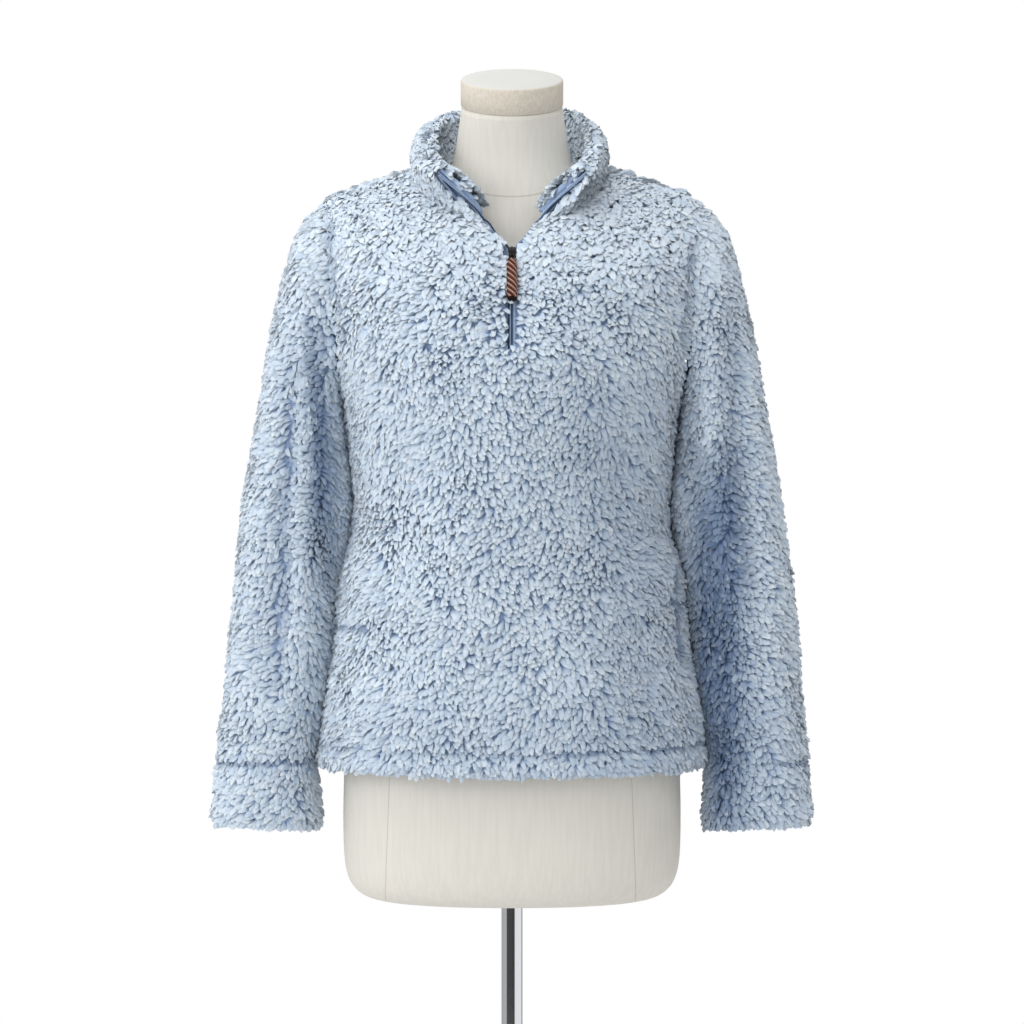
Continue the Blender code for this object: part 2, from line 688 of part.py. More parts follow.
def make_tape(name, side, rows, frame, mat, parts):
    """One zip tape: behind the front's edge, then between the collar's two layers."""
    edge, beside, out = tape_bed(side, rows, frame)
    away = np.abs(edge[:, 0])
    show = np.interp(away, TAPE_SHOW_AT, [TAPE_SHOW_AT[0] - TAPE_GAP, TAPE_SHOW_AT[1] - TAPE_GAP, TAPE_SHOW])
    show = np.minimum(show, away - TAPE_GAP)[:, None]
    across = unit(edge - beside)
    forward = edge - out * TAPE_BEHIND
    behind = forward - out * TAPE_THICK
    tuck = show - TAPE_WIDTH
    outer = np.stack([forward + across * show, forward + across * tuck], axis=1)
    inner = np.stack([behind + across * show, behind + across * tuck], axis=1)
    points, faces = solid_from_grids(outer, inner)
    return add_mesh(name, points, faces, mat, parts)


def chest_line(z):
    """Where the front's pile surface is in the middle plane at a height, and its lean there."""
    row = np.linspace(ARMPIT_ROW, NECK_ROW, 200)
    heights, depths = body("front_z", row), body("front_y", row)
    step = 0.004
    y = np.interp(z, heights, depths)
    lean = math.atan2(np.interp(z + step, heights, depths) - y, step)
    return float(y), lean


def slider_place():
    """Middle of the slider's front face, sunk in the pile so that its back meets the tapes."""
    z = float(body("front_z", SLIDER_ROW))
    y, lean = chest_line(z)
    sunk = PILE + TAPE_BEHIND - SLIDER_THICK - 2 * FIT_GAP
    return Vector((0, y, z)) + Vector((0, math.cos(lean), -math.sin(lean))) * sunk, lean


def wire_curve(name, points, radius, mat, parts, cyclic=False):
    curve = bpy.data.curves.new(name, "CURVE")
    curve.dimensions = "3D"
    curve.bevel_depth = radius
    curve.bevel_resolution = 1
    curve.use_fill_caps = not cyclic
    line = curve.splines.new("POLY")
    line.points.add(len(points) - 1)
    for target, point in zip(line.points, points):
        target.co = (*point, 1)
    line.use_cyclic_u = cyclic
    return add_object(name, curve, mat, parts)


def make_slider(place, lean, mat, parts):
    """The slider's body, a tapered plate, with the bridge that carries the pull."""
    cube = bmesh.new()
    bmesh.ops.create_cube(cube, size=1.0)
    for v in cube.verts:
        narrow = 0.62 if v.co.z < 0 else 1.0
        v.co = Vector((
            v.co.x * SLIDER_WIDTH * narrow,
            v.co.y * SLIDER_THICK + SLIDER_THICK / 2,
            v.co.z * SLIDER_HEIGHT,
        ))
    bmesh.ops.bevel(cube, geom=cube.edges[:], offset=0.0009, segments=2, affect="EDGES")
    mesh = bpy.data.meshes.new("zip_slider")
    cube.to_mesh(mesh)
    cube.free()
    mesh.shade_smooth()
    plate = add_object("zip_slider", mesh, mat, parts)
    half, reach = BRIDGE_LENGTH / 2, BRIDGE_REACH
    stand = FIT_GAP
    arch = [
        (0, -stand, half), (0, -reach * 0.62, half), (0, -reach * 0.90, half * 0.80),
        (0, -reach, half * 0.45), (0, -reach, -half * 0.45), (0, -reach * 0.90, -half * 0.80),
        (0, -reach * 0.62, -half), (0, -stand, -half),
    ]
    bridge = wire_curve("slider_bridge", arch, BRIDGE_WIRE / 2, mat, parts)
    for obj in (plate, bridge):
        obj.location = place
        obj.rotation_euler = (-lean, 0, 0)


def pull_pivot(place, lean):
    """The pull's hinge, in the gap between the slider's plate and its bridge."""
    middle = (BRIDGE_REACH - BRIDGE_WIRE / 2) / 2
    return place + Matrix.Rotation(-lean, 3, "X") @ Vector((0, -middle, 0))


def hung_from(obj, hinge, head, reach):
    """Parents a piece of the pull to its hinge, with its own axis along reach from head."""
    obj.parent = hinge
    obj.location = head - hinge.location
    obj.rotation_euler = (-math.atan2(-reach.y, -reach.z), 0, 0)


def make_link(hinge, reach, mat, parts):
    """The wire link that hangs from the slider's bridge and holds the grip."""
    length, half, chamfer = reach.length, LINK_WIDTH / 2, 0.0008
    corners = [
        (-half + chamfer, 0), (half - chamfer, 0), (half, -chamfer), (half, -length + chamfer),
        (half - chamfer, -length), (-half + chamfer, -length), (-half, -length + chamfer), (-half, -chamfer),
    ]
    link = wire_curve("pull_link", [(x, 0, z) for x, z in corners], LINK_WIRE / 2, mat, parts, cyclic=True)
    hung_from(link, hinge, hinge.location, reach)


def make_grip(hinge, head, reach, mat, parts):
    """The grip: cord strands twisted round each other, with rounded ends."""
    around, rings = GRIP_AROUND, GRIP_RINGS
    length = reach.length
    points, faces = [], []
    for k in range(rings):
        share = k / (rings - 1)
        end = min(1.0, min(share, 1 - share) * 9 + 0.5)
        for j in range(around):
            turn = 2 * math.pi * j / around
            twist = 2 * math.pi * share * length / GRIP_PITCH
            lobe = GRIP_LOBE * math.cos(GRIP_STRANDS * (turn - twist))
            r = (GRIP_RADIUS + lobe) * end
            points.append((r * math.cos(turn), r * math.sin(turn), -share * length))
    for k in range(rings - 1):
        for j in range(around):
            i = (j + 1) % around
            faces.append((k * around + j, k * around + i, (k + 1) * around + i, (k + 1) * around + j))
    faces.append(tuple(range(around))[::-1])
    faces.append(tuple((rings - 1) * around + j for j in range(around)))
    grip = add_mesh("pull_grip", points, faces, mat, parts)
    hung_from(grip, hinge, head, reach)


def make_pull(pivot, metal, cord, parts):
    """The pull hangs over the closed zip, against the chest, and swings about its hinge."""
    hinge = bpy.data.objects.new("pull_hinge", None)
    hinge.location = pivot
    parts.objects.link(hinge)
    link_z = pivot.z - LINK_DROP
    link_foot = Vector((0, chest_line(link_z)[0] - GRIP_STAND_OFF, link_z))
    make_link(hinge, link_foot - pivot, metal, parts)
    _, lean = chest_line(link_z - GRIP_LENGTH / 2)
    down = Vector((0, -math.sin(-lean), -math.cos(lean)))
    head = link_foot + down * (LINK_WIRE / 2 + 2 * FIT_GAP)
    foot_z = head.z - GRIP_LENGTH * math.cos(lean)
    foot = Vector((0, chest_line(foot_z)[0] - GRIP_STAND_OFF, foot_z))
    make_grip(hinge, head, foot - head, cord, parts)


# Dress form and stand


def form_ring(row):
    """Points and clearances of one torso ring, at equal turns from the front round to the back."""
    share, level = np.linspace(0, 1, FORM_SAMPLES), np.full(FORM_SAMPLES, row)
    front = body_points("front", level, share, 1)
    back = body_points("back", level, share, 1)
    line = np.concatenate([front, back[::-1]])
    turn = np.arctan2(line[:, 0], -line[:, 1])
    order = np.argsort(turn, kind="stable")
    at = np.linspace(0, math.pi, FORM_COLUMNS)
    ring = np.stack([np.interp(at, turn[order], line[order, k]) for k in range(3)], axis=1)
    clear = reader(FORM_CLEARANCE, CLEAR_COLUMNS, column(FORM_CLEARANCE, CLEAR_COLUMNS, "row"))
    end = np.where(at < math.pi / 2, float(clear("front", row)), float(clear("back", row)))
    sideness = np.sin(at) ** 2
    return ring, end * (1 - sideness) + float(clear("side", row)) * sideness


def form_rings():
    """Rings of the torso inside the jacket, from the hem to the neckline."""
    sides = [form_ring(row) for row in FORM_ROWS]
    ring = np.array([points for points, _ in sides])
    gap = np.array([clear for _, clear in sides])
    mirrored = ring[:, 1:-1][:, ::-1] * np.array([-1, 1, 1])
    whole = np.concatenate([ring, mirrored], axis=1)
    gaps = np.concatenate([gap, gap[:, 1:-1][:, ::-1]], axis=1)
    return whole - grid_normals(whole, closed=True) * (PILE + gaps)[..., None]


def hip_ring(angles, half_width, front_y, back_y, z):
    """A level ring of the hips, a little squarer than an ellipse."""
    power = BODY_CORNER
    sine, cosine = np.sin(angles), np.cos(angles)
    x = half_width * np.sign(sine) * np.abs(sine) ** power
    depth = np.where(cosine > 0, -front_y, back_y)
    y = -depth * np.sign(cosine) * np.abs(cosine) ** power
    return np.stack([x, y, np.full_like(x, z)], axis=-1)


def neck_ring(angles, half_width, centre_y, half_depth, z):
    """A ring of the neck, which leans forward more the higher it is."""
    x, y = half_width * np.sin(angles), -half_depth * np.cos(angles)
    share = (z - NECK_ROWS[0][-1]) / (NECK_ROWS[-1][-1] - NECK_ROWS[0][-1])
    return np.stack([x, centre_y + y, z + y * math.tan(CAP_TILT) * share], axis=-1)


def make_form(mat, parts):
    """The torso, in one closed skin from its flat underside to the top of the neck."""
    middle = form_rings()
    count = middle.shape[1]
    angles = np.linspace(0, 2 * math.pi, count, endpoint=False)
    hips = [hip_ring(angles, **dict(zip(HIP_COLUMNS, row))) for row in HIP_ROWS]
    neck = [neck_ring(angles, **dict(zip(NECK_COLUMNS, row))) for row in NECK_ROWS]
    grid = np.concatenate([hips, middle, neck])
    rows = len(grid)
    points = grid.reshape(-1, 3)
    faces = []
    for r in range(rows - 1):
        for c in range(count):
            d = (c + 1) % count
            faces.append((r * count + c, r * count + d, (r + 1) * count + d, (r + 1) * count + c))
    faces.append(tuple(range(count))[::-1])
    faces.append(tuple((rows - 1) * count + c for c in range(count)))
    return add_mesh("dress_form", points, faces, mat, parts)


def turned(name, profile, steps, mat, parts):
    """A turned solid from (radius, height) points that start and end on the axis."""
    mesh = bpy.data.meshes.new(name)
    mesh.from_pydata([(r, 0, z) for r, z in profile], [(i, i + 1) for i in range(len(profile) - 1)], [])
    obj = add_object(name, mesh, mat, parts)
    screw = obj.modifiers.new("Screw", "SCREW")
    screw.steps = screw.render_steps = steps
    screw.use_merge_vertices = True
    screw.merge_threshold = 0.0001
    screw.use_smooth_shade = True
    return obj


def make_cap(mat, parts):
    """The neck's linen cap, which leans forward with the neck."""
    edge = CAP_ROUND
    profile = [
        (0, CAP_THICK), (CAP_RADIUS - edge, CAP_THICK), (CAP_RADIUS - edge * 0.3, CAP_THICK - edge * 0.3),
        (CAP_RADIUS, CAP_THICK - edge), (CAP_RADIUS * 0.985, 0), (0, 0),
    ]
    cap = turned("neck_cap", profile, 36, mat, parts)
    _, centre_y, _, z = NECK_ROWS[-1]
    cap.location = (0, centre_y, z + FIT_GAP / math.cos(CAP_TILT))
    cap.rotation_euler = (CAP_TILT, 0, 0)
    cap.scale = (1, CAP_DEPTH_SHARE, 1)


def rod(radius, low, high, edge):
    """Profile of a turned rod or disc with its top edge broken."""
    return [(0, high), (radius - edge, high), (radius, high - edge), (radius, low), (0, low)]


def make_stand(mat, parts):
    """A round base plate, the hub on it, and the pole that the form stands on."""
    hub_foot, pole_foot = BASE_THICK + FIT_GAP, HUB_TOP + FIT_GAP
    pole_head = HIP_ROWS[0][3] - FIT_GAP
    turned("base_plate", rod(BASE_RADIUS, 0, BASE_THICK, STAND_EDGE), 40, mat, parts)
    turned("pole_hub", rod(HUB_RADIUS, hub_foot, HUB_TOP, STAND_EDGE), 32, mat, parts)
    turned("pole", rod(POLE_RADIUS, pole_foot, pole_head, FIT_GAP), 24, mat, parts)


def main():
    clear_scene()
    parts = make_collection("fleece_jacket_on_dress_form")
    fleece = material("fleece", 0.95)
    metal = material("dark_metal", 0.35, metallic=1.0)
    rows = spaced_rows(BODY_STEPS)
    frame = collar_frame(rows)
    make_front(rows, frame, fleece, parts)
    make_back(rows, frame, fleece, parts)
    make_collar(frame, fleece, parts)
    make_facing(frame, fleece, parts)
    for name, side in (("left", 1), ("right", -1)):
        make_sleeve(name, side, rows, fleece, parts)
        make_tape("zip_tape_" + name, side, rows, frame, material("zip_tape", 0.7), parts)
    place, lean = slider_place()
    make_slider(place, lean, metal, parts)
    make_pull(pull_pivot(place, lean), metal, material("pull_cord", 0.5), parts)
    make_form(material("linen", 0.85), parts)
    make_cap(material("cap_linen", 0.85), parts)
    make_stand(material("chrome", 0.12, metallic=1.0), parts)


main()
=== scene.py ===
"""Looks of a high-pile fleece quarter-zip jacket on a limbless dress form.

Metres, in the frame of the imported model: +Z up, the front faces -Y, the floor is z = 0.
Left and right are the wearer's, so the left sleeve is at +X.
"""

import math

import bmesh
import bpy
import numpy as np
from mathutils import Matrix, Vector
from mathutils.bvhtree import BVHTree
from mathutils.kdtree import KDTree


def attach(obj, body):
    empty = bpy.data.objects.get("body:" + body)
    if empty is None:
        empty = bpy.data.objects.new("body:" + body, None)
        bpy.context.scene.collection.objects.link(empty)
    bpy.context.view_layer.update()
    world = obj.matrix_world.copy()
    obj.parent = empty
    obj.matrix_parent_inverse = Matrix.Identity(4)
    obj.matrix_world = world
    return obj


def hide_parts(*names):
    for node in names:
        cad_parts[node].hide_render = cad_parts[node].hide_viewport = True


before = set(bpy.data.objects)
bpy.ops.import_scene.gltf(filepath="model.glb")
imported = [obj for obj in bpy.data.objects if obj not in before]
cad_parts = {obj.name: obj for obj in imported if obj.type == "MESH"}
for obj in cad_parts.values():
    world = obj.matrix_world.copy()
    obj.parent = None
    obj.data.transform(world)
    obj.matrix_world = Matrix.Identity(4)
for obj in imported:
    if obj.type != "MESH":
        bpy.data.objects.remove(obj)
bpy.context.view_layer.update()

JACKET, PULL = "jacket_on_form", "zip_pull"

# Camera: how far in front of the middle plane, how high, and how wide it sees there
CAMERA_AWAY = 3.2
CAMERA_HEIGHT = 0.819
VIEW_WIDTH = 1.0854
SENSOR_WIDTH = 36.0

# Cloth walls: rays shorter than this cross a wall, longer ones run along it from a rim
WALL_MOST = 0.0165
YOKE_HEIGHT = 1.02
PILE_DEPTH = 0.0062
SLEEVE_BANDS = 24

# Pile: spacing of locks and of the clumps that they lean together in
PILE_COLUMNS = ("spacing", "clump", "length", "radius")
PILE = {
    "front": (0.0031, 0.0072, 0.0118, 0.00285),
    "back": (0.0036, 0.0080, 0.0122, 0.00325),
    "sleeve_left": (0.0032, 0.0074, 0.0118, 0.00290),
    "sleeve_right": (0.0032, 0.0074, 0.0118, 0.00290),
    "collar": (0.0027, 0.0060, 0.0086, 0.00240),
    "collar_facing": (0.0027, 0.0060, 0.0082, 0.00240),
}
LOCK_STATIONS = (0.0, 0.45, 0.84, 1.0)
LOCK_GIRTHS = (1.15, 1.0, 0.78)
LOCK_START = 0.48
LOCK_SIDES = 3
LOCK_ROUNDNESS = 0.45
LOCK_SPIN = 0.45
CLUMP_PULL = 0.30
MOST_SWIRL = 0.60
HEM_REACH = (0.0030, 0.0100)
HEM_LEAST = 0.34
FLAT_FROM = 1.03
FLAT_OVER = 0.07
FLAT_RISE = 0.0036
FLAT_GIRTH = 0.28
FLAT_START = 0.40
# Roots painted paler where the pile lies flat, as painted light in the crevices of the shoulders and collar
ROOT_PAINTED_LIGHT = 0.45
SIDE_RISE = 0.0036
SIDE_GAPS = ((-1, 0.168, 0.90), (1, 0.182, 0.80))
CANDIDATES = 2.4
MOST_LOCKS = 11800
FIBRE_PACE = 130.0
SOFT_PILE = {"collar": 2.2, "collar_facing": 2.3, "back": 1.1, "front": 0.35}
FACING_FOOT = 1.137
FACING_REACH = 0.034

# Zip: how the satin band lies beside the tape's edge, the dark line of painted shadow on either side, and the teeth
TAPE_WIDTH = 0.0105
ZIP_STEP = 0.0025
ZIP_CLEAR = 0.0042
BAND_MIDDLE = 0.0016
BAND_LIFT = 0.0016
PAINTED_SHADOW_LINE = {"left": 0.0036, "right": -0.0004}
PAINTED_SHADOW_LINE_CLOSED = {"left": -0.0004, "right": 0.0030}
SLIDER_FOOT = 1.079
TOOTH_PITCH = 0.0016
TOOTH_CORNERS = tuple((x, y, z) for x in (-1, 1) for y in (-1, 1) for z in (-1, 1))
TOOTH_FACES = ((0, 1, 3, 2), (4, 6, 7, 5), (0, 4, 5, 1), (2, 3, 7, 6), (0, 2, 6, 4), (1, 5, 7, 3))

# Even light: where it is strongest, and its least and added strength
SKY_FROM = (-0.66, -0.45, 0.60)
SKY_EVEN = 0.62
SKY_LEAN = 0.46

# What the chrome mirrors: brightness at each bearing, in degrees from the camera's side
ROOM_STOPS = (
    (-180, 0.42), (-60, 0.50), (-50, 0.07), (26, 0.05), (38, 0.90), (125, 0.95), (135, 0.42), (180, 0.42),
)

# Form and cap: threads of the linen, the form's seams as planes with a half width, and the cap's edges
THREADS = 420.0
SEAM_TINT = (0.74, 0.72, 0.69)
FORM_SEAMS = (
    ((0, -0.90, 1), 1.2027, 0.0012),
    ((1, 0, 0.04), 0.1450, 0.0008),
    ((-1, 0, 0.04), 0.1480, 0.0008),
)
CAP_TILT = math.radians(20)
CAP_RISE = 0.0038
CAP_RIM = 0.0022
CAP_CROWN = 0.0004
CAP_SIDES = 96

# Grip: twisted laces, thinner at both ends
GRIP_RADIUS = 0.0056
GRIP_STRANDS = 5
GRIP_PITCH = 0.031
GRIP_PROFILE_AT = (0.0, 0.05, 0.14, 0.90, 0.97, 1.0)
GRIP_PROFILE = (0.45, 0.80, 1.0, 1.04, 0.92, 0.70)
# Colours across each lace: painted shade in the grooves between laces, brown on their backs, a painted highlight along
# one flank
LACE_STOPS = (
    (0.00, (0.010, 0.004, 0.003)),
    (0.25, (0.045, 0.014, 0.010)),
    (0.50, (0.150, 0.045, 0.026)),
    (0.62, (0.200, 0.066, 0.040)),
    (0.67, (0.740, 0.500, 0.410)),
    (0.73, (0.740, 0.500, 0.410)),
    (0.78, (0.120, 0.036, 0.022)),
    (1.00, (0.010, 0.004, 0.003)),
)

# Sewn lines that press the pile down and darken it with painted shade: hem, cuffs and the ends of the side pockets
HEM_CREASE = 0.5765
HEM_CREASE_RISE = 0.004
CUFF_CREASE = 0.560
CREASE_WIDTH = 0.0036
ARMHOLE_CREASE = ((0.190, 1.125), (0.174, 1.000))
POCKET_CREASES = (
    ((0.166, 0.765), (0.172, 0.668)),
    ((0.160, 0.727), (0.186, 0.726)),
    ((-0.180, 0.702), (-0.146, 0.702)),
)

# Long soft folds seen from the front: where each runs, its half width, how deep its valley is, and how much painted
# shade darkens the pile along it; rows with no depth are painted shade alone
FOLD_COLUMNS = ("piece", "top", "bottom", "width", "depth", "shade")
FOLDS = (
    ("sleeve_right", (-0.226, 1.010), (-0.244, 0.620), 0.009, 0.0034, 0.60),
    ("sleeve_right", (-0.203, 1.030), (-0.194, 0.740), 0.011, 0.0052, 0.95),
    ("sleeve_right", (-0.216, 1.000), (-0.236, 0.640), 0.012, -0.0030, 0.0),
    ("sleeve_left", (0.226, 1.060), (0.231, 0.740), 0.012, 0.0045, 0.35),
    ("sleeve_left", (0.212, 0.900), (0.214, 0.450), 0.031, 0.0066, 1.25),
    ("sleeve_left", (0.205, 1.010), (0.200, 0.800), 0.009, -0.0030, 0.0),
    ("front", (-0.060, 1.010), (-0.150, 0.700), 0.026, 0.0014, 0.0),
    ("front", (0.060, 1.010), (0.150, 0.700), 0.026, 0.0025, 0.12),
    ("front", (0.020, 0.760), (0.060, 0.600), 0.030, 0.0025, 0.0),
    ("front", (0.125, 0.980), (0.130, 0.480), 0.060, 0.0, 0.26),
    ("front", (0.000, 0.640), (0.000, 0.520), 0.300, 0.0, 0.14),
    ("sleeve_left", (0.262, 0.640), (0.262, 0.480), 0.040, 0.0, 0.22),
)
FOLD_STEP = 0.002
COLLAR_LEAN = 0.0050
SWELL_SIZE = 0.16
SWELL_DEPTH = 0.0014

PILE_STOPS = (
    (0.00, (0.380, 0.520, 0.780)),
    (0.25, (0.510, 0.640, 0.820)),
    (0.45, (0.630, 0.735, 0.850)),
    (0.75, (0.680, 0.770, 0.855)),
    (1.00, (0.710, 0.790, 0.860)),
)


# Arrays and meshes


def unit(vectors):
    return vectors / np.maximum(np.linalg.norm(vectors, axis=-1, keepdims=True), 1e-12)


def welded(name):
    """Points and triangles of a CAD node, with its doubled corners made one."""
    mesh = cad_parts[name].data
    mesh.calc_loop_triangles()
    points = np.empty(3 * len(mesh.vertices), np.float32)
    corners = np.empty(3 * len(mesh.loop_triangles), np.int32)
    mesh.vertices.foreach_get("co", points)
    mesh.loop_triangles.foreach_get("vertices", corners)
    points = points.reshape(-1, 3).astype(float)
    _, first, index = np.unique(np.round(points, 5), axis=0, return_index=True, return_inverse=True)
    tris = index.reshape(-1)[corners].reshape(-1, 3)
    whole = (tris[:, 0] != tris[:, 1]) & (tris[:, 1] != tris[:, 2]) & (tris[:, 0] != tris[:, 2])
    return points[first], tris[whole]


def triangle_facts(points, tris):
    """Middles, unit normals and areas."""
    a, b, c = (points[tris[:, k]] for k in range(3))
    cross = np.cross(b - a, c - a)
    return (a + b + c) / 3, unit(cross), np.linalg.norm(cross, axis=1) / 2


def drift(points, size, seed, waves=10):
    """Smooth random values, mostly from -1 to 1, that change over about that size."""
    rng = np.random.default_rng(seed)
    heading = unit(rng.normal(size=(waves, 3)))
    pace = 2 * math.pi / size * (0.5 + rng.random((waves, 1)))
    phase = 2 * math.pi * rng.random(waves)
    return np.sin(points @ (heading * pace).T + phase).sum(axis=1) / math.sqrt(waves / 2)


def array_mesh(name, points, *faces):
    """A mesh from arrays: one array of faces for each number of corners."""
    mesh = bpy.data.meshes.new(name)
    sizes = np.concatenate([np.full(len(f), f.shape[1]) for f in faces])
    corners = np.concatenate([f.ravel() for f in faces]).astype(np.int32)
    starts = np.concatenate([[0], np.cumsum(sizes)[:-1]]).astype(np.int32)
    mesh.vertices.add(len(points))
    mesh.vertices.foreach_set("co", points.astype(np.float32).ravel())
    mesh.loops.add(len(corners))
    mesh.loops.foreach_set("vertex_index", corners)
    mesh.polygons.add(len(sizes))
    mesh.polygons.foreach_set("loop_start", starts)
    mesh.update(calc_edges=True)
    mesh.shade_smooth()
    return mesh


def add_piece(name, data, material, body=JACKET):
    obj = bpy.data.objects.new(name, data)
    bpy.context.scene.collection.objects.link(obj)
    data.materials.append(material)
    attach(obj, body)
    return obj


def smoothed(obj, levels):
    modifier = obj.modifiers.new("Subdivision", "SUBSURF")
    modifier.levels = modifier.render_levels = levels
    return obj


# Materials


class Nodes:
    """A material's nodes, added and joined in few words."""

    def __init__(self, name):
        self.material = bpy.data.materials.new(name)
        self.material.use_nodes = True
        self.tree = self.material.node_tree
        self.shader = self.tree.nodes["Principled BSDF"]

    def add(self, kind, links=(), **values):
        node = self.tree.nodes.new("ShaderNode" + kind)
        for key, value in values.items():
            if hasattr(node, key):
                setattr(node, key, value)
            else:
                node.inputs[key.replace("_", " ")].default_value = value
        for name, source in dict(links).items():
            self.join(source, node.inputs[name])
        return node

    def join(self, source, target):
        output = source if isinstance(source, bpy.types.NodeSocket) else source.outputs[0]
        self.tree.links.new(output, target)

    def ramp(self, source, stops):
        node = self.add("ValToRGB", {"Fac": source})
        elements = node.color_ramp.elements
        for element, (place, colour) in zip(elements, stops):
            element.position = place
            element.color = (*colour, 1)
        for place, colour in stops[2:]:
            elements.new(place).color = (*colour, 1)
        return node

    def mix(self, share, first, second, blend="MIX"):
        node = self.add("Mix", data_type="RGBA", blend_type=blend)
        for socket, value in ((node.inputs["Factor"], share), (node.inputs[6], first), (node.inputs[7], second)):
            if isinstance(value, (float, int, tuple)):
                socket.default_value = (*value, 1) if isinstance(value, tuple) else value
            else:
                self.join(value, socket)
        return node.outputs[2]

    def surface(self, colour=None, bump=None, **constants):
        if isinstance(colour, tuple):
            self.shader.inputs["Base Color"].default_value = (*colour, 1)
        elif colour is not None:
            self.join(colour, self.shader.inputs["Base Color"])
        if bump is not None:
            self.join(bump, self.shader.inputs["Normal"])
        for name, value in constants.items():
            self.shader.inputs[name.replace("_", " ")].default_value = value
        return self.material


def pile_material():
    """Locks: saturated roots to frosted tips, with fibres along each lock; painted shade darkens them in creases and
    fold valleys.
    """
    m = Nodes("fleece_pile")
    place = m.add("Attribute", attribute_name="pile")
    parts = m.add("SeparateColor", {"Color": place.outputs["Color"]})
    along, tone, shade = parts.outputs[0], parts.outputs[1], parts.outputs[2]
    fibre = m.add("Attribute", attribute_name="fibre")
    streaks = m.add("TexNoise", {"Vector": fibre.outputs["Vector"]}, Scale=1.0, Detail=3.0, Roughness=0.6)
    wander = m.add("MapRange", {"Value": streaks.outputs["Fac"]}, To_Min=-0.10, To_Max=0.10)
    place_now = m.add("Math", {0: along, 1: wander.outputs[0]}, operation="ADD")
    colour = m.ramp(place_now.outputs[0], PILE_STOPS)
    dimmer = m.mix(tone, (0.80, 0.84, 0.90), (1.06, 1.04, 1.02))
    toned = m.mix(1.0, colour.outputs[0], dimmer, "MULTIPLY")
    # Painted shade: the shade channel darkens the colour towards dark blue
    shaded = m.mix(shade, toned, m.mix(1.0, toned, (0.26, 0.32, 0.44), "MULTIPLY"))
    bump = m.add("Bump", {"Height": streaks.outputs["Fac"]}, Strength=0.5, Distance=0.0006)
    return m.surface(shaded, bump, Roughness=0.95, Sheen_Weight=0.05, Specular_IOR_Level=0.1)


def backing_material():
    """The knitted ground that the pile grows from, fine ribs on its plain side."""
    m = Nodes("fleece_backing")
    place = m.add("TexCoord")
    ribs = m.add("TexWave", {"Vector": place.outputs["Object"]}, Scale=160.0, Distortion=2.0, Detail=1.0)
    noise = m.add("TexNoise", {"Vector": place.outputs["Object"]}, Scale=300.0, Detail=2.0)
    colour = m.ramp(noise.outputs["Fac"], ((0.25, (0.380, 0.500, 0.730)), (0.8, (0.450, 0.570, 0.780))))
    bump = m.add("Bump", {"Height": ribs.outputs["Fac"]}, Strength=0.4, Distance=0.0004)
    return m.surface(colour, bump, Roughness=0.95, Specular_IOR_Level=0.15)


# Cloth pieces: which side of each wall carries pile, and the cloth's cut


class Wall:
    """A cloth node's points and triangles, with the side of the wall that each triangle is on."""

    def __init__(self, name):
        self.name = name
        self.points, self.tris = welded(name)
        self.middles, self.normals, self.areas = triangle_facts(self.points, self.tris)
        self.pile_sign = -1 if name == "collar_facing" else 1
        self.side = self.sides() * self.pile_sign
        self.fold()

    def core(self, places):
        """The point inside the garment that each place faces away from."""
        if not self.name.startswith("sleeve"):
            high = places[:, 2] if self.name.startswith("collar") else np.minimum(places[:, 2], YOKE_HEIGHT)
            return np.stack([0 * high, 0 * high, high], axis=1)
        z = self.points[:, 2]
        edges = np.linspace(z.min(), z.max(), SLEEVE_BANDS + 1)
        levels, axis = [], []
        for low, high in zip(edges, edges[1:]):
            inside = (z >= low) & (z <= high)
            if inside.any():
                levels.append((low + high) / 2)
                axis.append((self.points[inside].min(axis=0) + self.points[inside].max(axis=0)) / 2)
        axis = np.array(axis)
        x, y = (np.interp(places[:, 2], levels, axis[:, k]) for k in range(2))
        return np.stack([x, y, places[:, 2]], axis=1)

    def sides(self):
        """1 on the outside of the wall, -1 on its inside and 0 on a rim."""
        tree = BVHTree.FromPolygons(self.points.tolist(), self.tris.tolist())
        facing = np.sum(self.normals * (self.middles - self.core(self.middles)), axis=1)
        side = np.where(facing > 0, 1, -1)
        for i, (middle, normal) in enumerate(zip(self.middles, self.normals)):
            start = Vector(middle - normal * 0.0002)
            if tree.ray_cast(start, Vector(-normal), WALL_MOST)[0] is None:
                side[i] = 0
        return side

    def fold(self):
        """Moves both sides of the wall in and out with its folds, and leans the collar's left side in."""
        if self.name.startswith("collar"):
            self.points[:, 0] -= COLLAR_LEAN * np.clip((self.points[:, 0] - 0.068) / 0.028, 0, 1)
        out = unit((self.points - self.core(self.points)) * np.array([1, 1, 0]))
        forward = np.clip(-1.5 * out[:, 1], 0, 1)
        self.points = self.points + out * fold_height(self.name, self.points, forward)[:, None]
        self.middles, self.normals, self.areas = triangle_facts(self.points, self.tris)

    def edge_rims(self):
        """The rims where the pile turns over: hem, cuff, the collar's top and the facing's ends."""
        low, high = self.points[:, 2].min(), self.points[:, 2].max()
        rim, up = self.side == 0, self.normals[:, 2]
        if self.name.startswith("collar"):
            chosen = rim & (up > 0.45)
            if self.name == "collar_facing":
                chosen |= rim & (self.normals[:, 1] < -0.4) & (self.middles[:, 1] < -0.05)
            return chosen
        return rim & (up < -0.6) & (self.middles[:, 2] < low + 0.05)

    def point_normals(self, chosen):
        """Area-weighted normals of the points, from the chosen triangles alone."""
        total = np.zeros_like(self.points)
        for k in range(3):
            np.add.at(total, self.tris[chosen, k], (self.normals * self.areas[:, None])[chosen])
        return unit(total)


